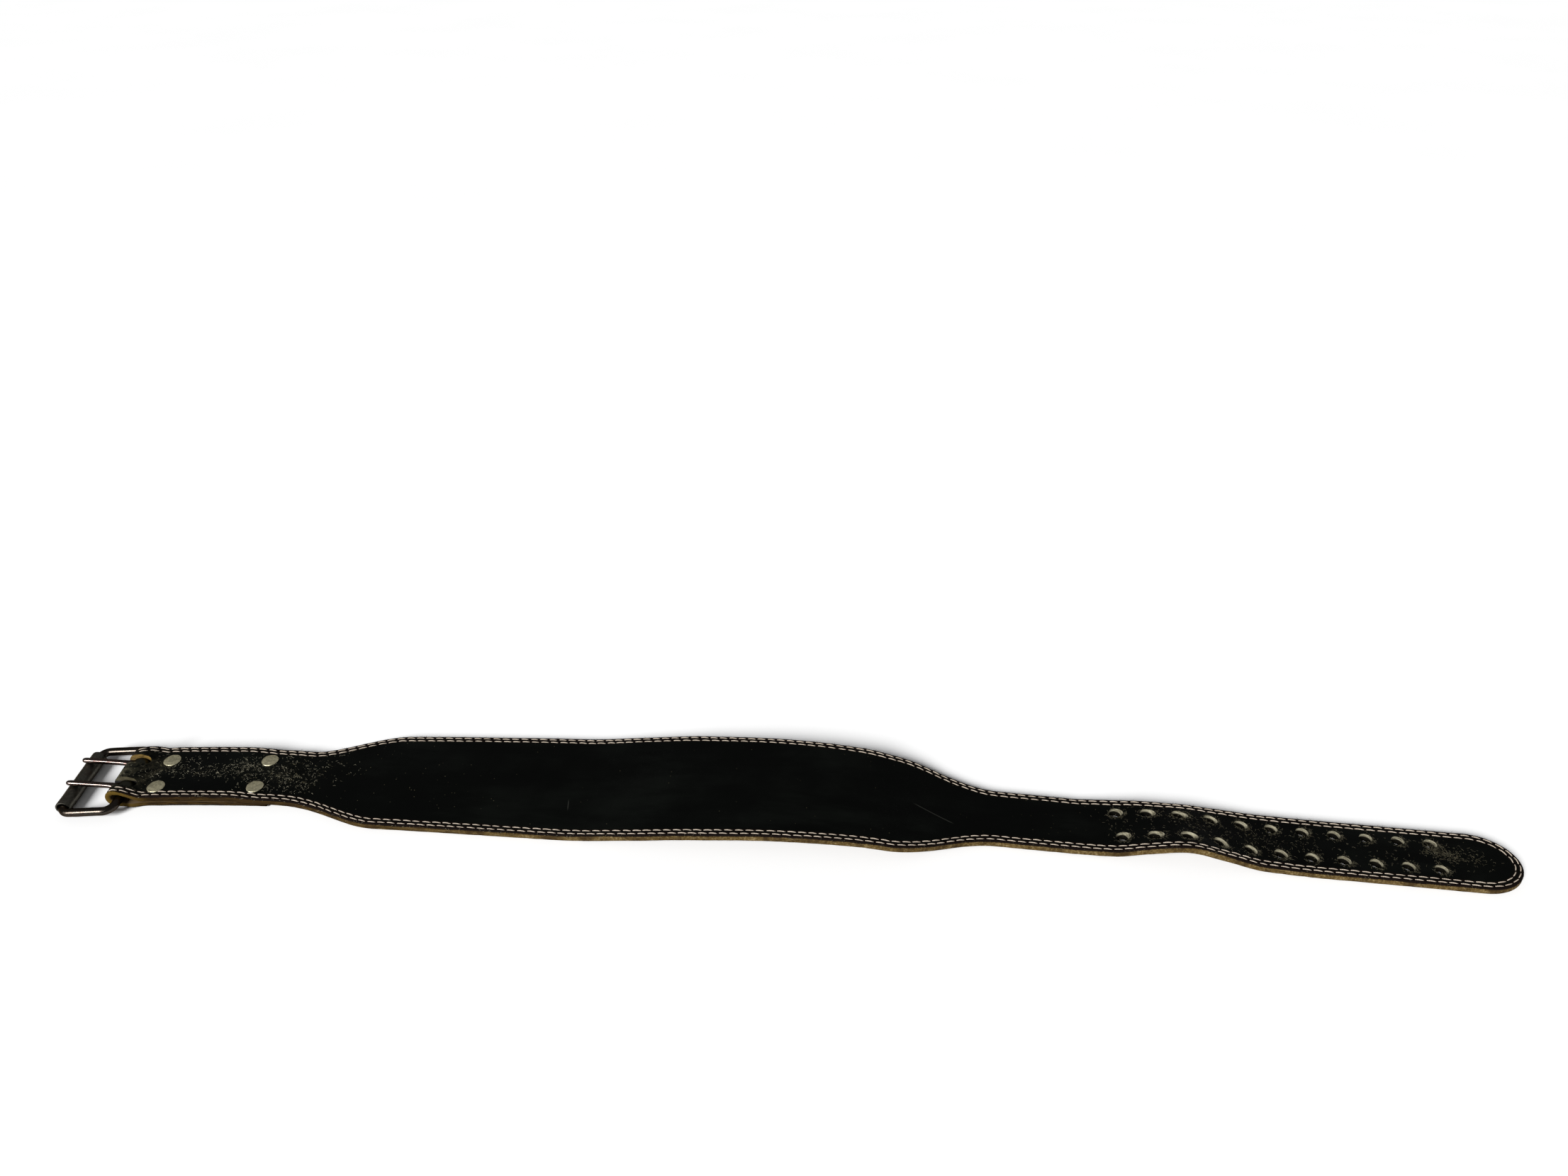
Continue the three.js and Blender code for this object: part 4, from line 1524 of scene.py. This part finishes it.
class MESH_OT_belt_prongs(bpy.types.Operator):
    """Build the two prongs"""

    bl_idname = "mesh.belt_prongs"
    bl_label = "Prongs"

    def execute(self, context):
        settings = context.scene.belt_buckle
        stops = prong_path()
        last = len(stops) - 1
        path = []
        for i, (place, thick, wide) in enumerate(stops):
            ahead = (stops[min(i + 1, last)][0] - stops[max(i - 1, 0)][0]).normalized()
            sideways = Vector((0, 1, 0))
            path.append((place, sideways * wide / 2, ahead.cross(sideways) * thick / 2))
        points, faces = sweep(path, PRONG_FACETS)

        # How far along each stop is: 0 to 1 round the eye, 1 to 2 along the shank
        root, tip = stops[EYE_STOPS][0], stops[last][0]
        reach = [i / (EYE_STOPS - 1) for i in range(EYE_STOPS)]
        reach += [1 + (root - stop[0]).length / (root - tip).length for stop in stops[EYE_STOPS:]]
        tarnished = {"stain": (0.055, 0.03, 0.026), "stain_amount": 0.5, "eye": (0.05, 0.052, 0.04)}
        steel = metal_material("prong_worn_steel", settings.prong, roughness=0.1, scale=170.0, **tarnished)
        for side, sign in (("near", -1), ("far", 1)):
            piece = new_piece(f"prong_wire_{side}", points, faces)
            set_uv(piece, "reach", lambda point: (reach[point // PRONG_FACETS], 0.0))
            shift = Matrix.Translation((0, PRONG_OFFSET + sign * PRONG_SPACING / 2, 0))
            settle(piece, buckle_matrix() @ shift)
            recalculate(piece)
            dent(piece, settings.dents * 0.7, scale=210, seed=3 + sign)
            shade_by_angle(piece, 60)
            finish_piece(piece, steel, f"{side}_prong", "prong_steel", f"prong_{side}")
        return {"FINISHED"}


def disc_piece(name, radius, rise, wall):
    """A pressed disc with a rounded rim and a domed face, drawn about the origin, face up."""
    deselect()
    bpy.ops.mesh.primitive_circle_add(vertices=56, radius=radius * 0.97)
    piece = bpy.context.object
    piece.name = name
    edit_all(piece)
    stops = [(1.0, wall * 0.35), (1.0, wall * 0.75), (0.985, wall)]
    for share in (0.95, 0.88, 0.78, 0.66, 0.52, 0.36, 0.2, 0.08):
        stops.append((share, wall + rise * (1 - share**2.2)))
    reach, height = 0.97, 0.0
    for share, level in stops:
        bpy.ops.mesh.extrude_region_move(TRANSFORM_OT_translate={"value": (0, 0, level - height)})
        bpy.ops.transform.resize(value=(share / reach, share / reach, 1))
        reach, height = share, level
    bpy.ops.mesh.edge_face_add()
    bpy.ops.object.mode_set(mode="OBJECT")
    return piece


class MESH_OT_belt_rivets(bpy.types.Operator):
    """Build the four rivets, each with its cap on the face and its disc on the inner side"""

    bl_idname = "mesh.belt_rivets"
    bl_label = "Rivets"

    def execute(self, context):
        settings = context.scene.belt_buckle
        tarnished = {"stain": (0.5, 0.45, 0.27), "stain_amount": 0.4, "fine_pits": 0.05}
        nickel = metal_material("rivet_dull_nickel", settings.rivet, roughness=0.36, scale=90.0, **tarnished)
        for index, (name, (s, t)) in enumerate(RIVET_PLACES.items()):
            cap = disc_piece(f"{name}_cap", RIVET_CAP_DIAMETER / 2, 0.75, 0.7)
            settle(cap, lay_matrix(s, t, strap_top(s) - 0.25))
            back = disc_piece(f"{name}_disc", RIVET_BACK_DIAMETER / 2, 0.25, 0.35)
            turned = Matrix.Rotation(math.pi, 4, "X")
            settle(back, lay_matrix(s, t, flap_bottom(s) + 0.85) @ turned)
            piece = join([cap, back])
            piece.name = f"{name}_metal"
            recalculate(piece)
            dent(piece, settings.dents * 1.6, scale=330, seed=10 + index)
            shade_by_angle(piece, 50)
            finish_piece(piece, nickel, "belt", "rivet_nickel", name)
        return {"FINISHED"}


# The stage


class SCENE_OT_belt_stage(bpy.types.Operator):
    """Set up the floor, the soft lights and the camera"""

    bl_idname = "scene.belt_stage"
    bl_label = "Stage"

    def execute(self, context):
        settings = context.scene.belt_stage
        deselect()
        bpy.ops.mesh.primitive_plane_add(size=14, location=(0.2, 1.0, -0.0004))
        floor = context.object
        floor.name = "pale_floor"
        material, place = new_material("pale_floor", Roughness=0.9, Specular_IOR_Level=0.1)
        shade = place.noise(3.0).step(0.3, 0.7).blend(settings.floor, times(settings.floor, 0.985))
        set_inputs(material.node_tree.nodes["Principled BSDF"], {"Base Color": shade})
        floor.data.materials.append(material)

        world = bpy.data.worlds.new("soft_room")
        context.scene.world = world
        world.use_nodes = True
        background = world.node_tree.nodes["Background"]
        set_inputs(background, {"Color": (1, 1, 1, 1), "Strength": settings.fill})

        light = bpy.data.lights.new("broad_soft_light", "SUN")
        light.angle = math.radians(LIGHT_SPREAD)
        light.energy = settings.lamp
        lamp = add_object("broad_soft_light", light)
        lamp.rotation_euler = Vector(LIGHT_FROM).to_track_quat("Z", "Y").to_euler()
        context.scene.view_settings.view_transform = "Standard"

        lens = bpy.data.cameras.new("camera")
        lens.lens = settings.lens
        lens.sensor_width = 36
        camera = add_object("camera", lens)
        camera.location = CAMERA_PLACE
        camera.rotation_euler = Euler((math.radians(90 - CAMERA_DOWN), 0, math.radians(CAMERA_TURN)))
        context.scene.camera = camera
        return {"FINISHED"}


class VIEW3D_PT_belt(bpy.types.Panel):
    """Buttons and settings of the belt"""

    bl_label = "Weightlifting Belt"
    bl_idname = "VIEW3D_PT_belt"
    bl_space_type = "VIEW_3D"
    bl_region_type = "UI"
    bl_category = "Belt"

    def draw(self, context):
        layout = self.layout
        for group, kind in SETTINGS.items():
            box = layout.box()
            for name in kind.__annotations__:
                box.prop(getattr(context.scene, group), name)
        for operator in OPERATORS:
            layout.operator(operator.bl_idname)


OPERATORS = (
    MESH_OT_belt_leather,
    MESH_OT_belt_stitches,
    MESH_OT_belt_fibres,
    MESH_OT_belt_frame,
    MESH_OT_belt_roller,
    MESH_OT_belt_prongs,
    MESH_OT_belt_rivets,
    SCENE_OT_belt_stage,
)
SETTINGS = {
    "belt_leather": BeltLeatherSettings,
    "belt_thread": BeltThreadSettings,
    "belt_buckle": BeltBuckleSettings,
    "belt_stage": BeltStageSettings,
}


def register():
    for group in SETTINGS.values():
        bpy.utils.register_class(group)
    for operator in OPERATORS:
        bpy.utils.register_class(operator)
    bpy.utils.register_class(VIEW3D_PT_belt)
    for name, group in SETTINGS.items():
        setattr(bpy.types.Scene, name, bpy.props.PointerProperty(type=group))


def unregister():
    for name in SETTINGS:
        delattr(bpy.types.Scene, name)
    bpy.utils.unregister_class(VIEW3D_PT_belt)
    for operator in reversed(OPERATORS):
        bpy.utils.unregister_class(operator)
    for group in reversed(SETTINGS.values()):
        bpy.utils.unregister_class(group)


def main():
    register()
    bpy.ops.mesh.belt_leather()
    bpy.ops.mesh.belt_stitches()
    bpy.ops.mesh.belt_fibres()
    bpy.ops.mesh.belt_frame()
    bpy.ops.mesh.belt_roller()
    bpy.ops.mesh.belt_prongs()
    bpy.ops.mesh.belt_rivets()
    bpy.ops.scene.belt_stage()


if __name__ == "__main__":
    main()
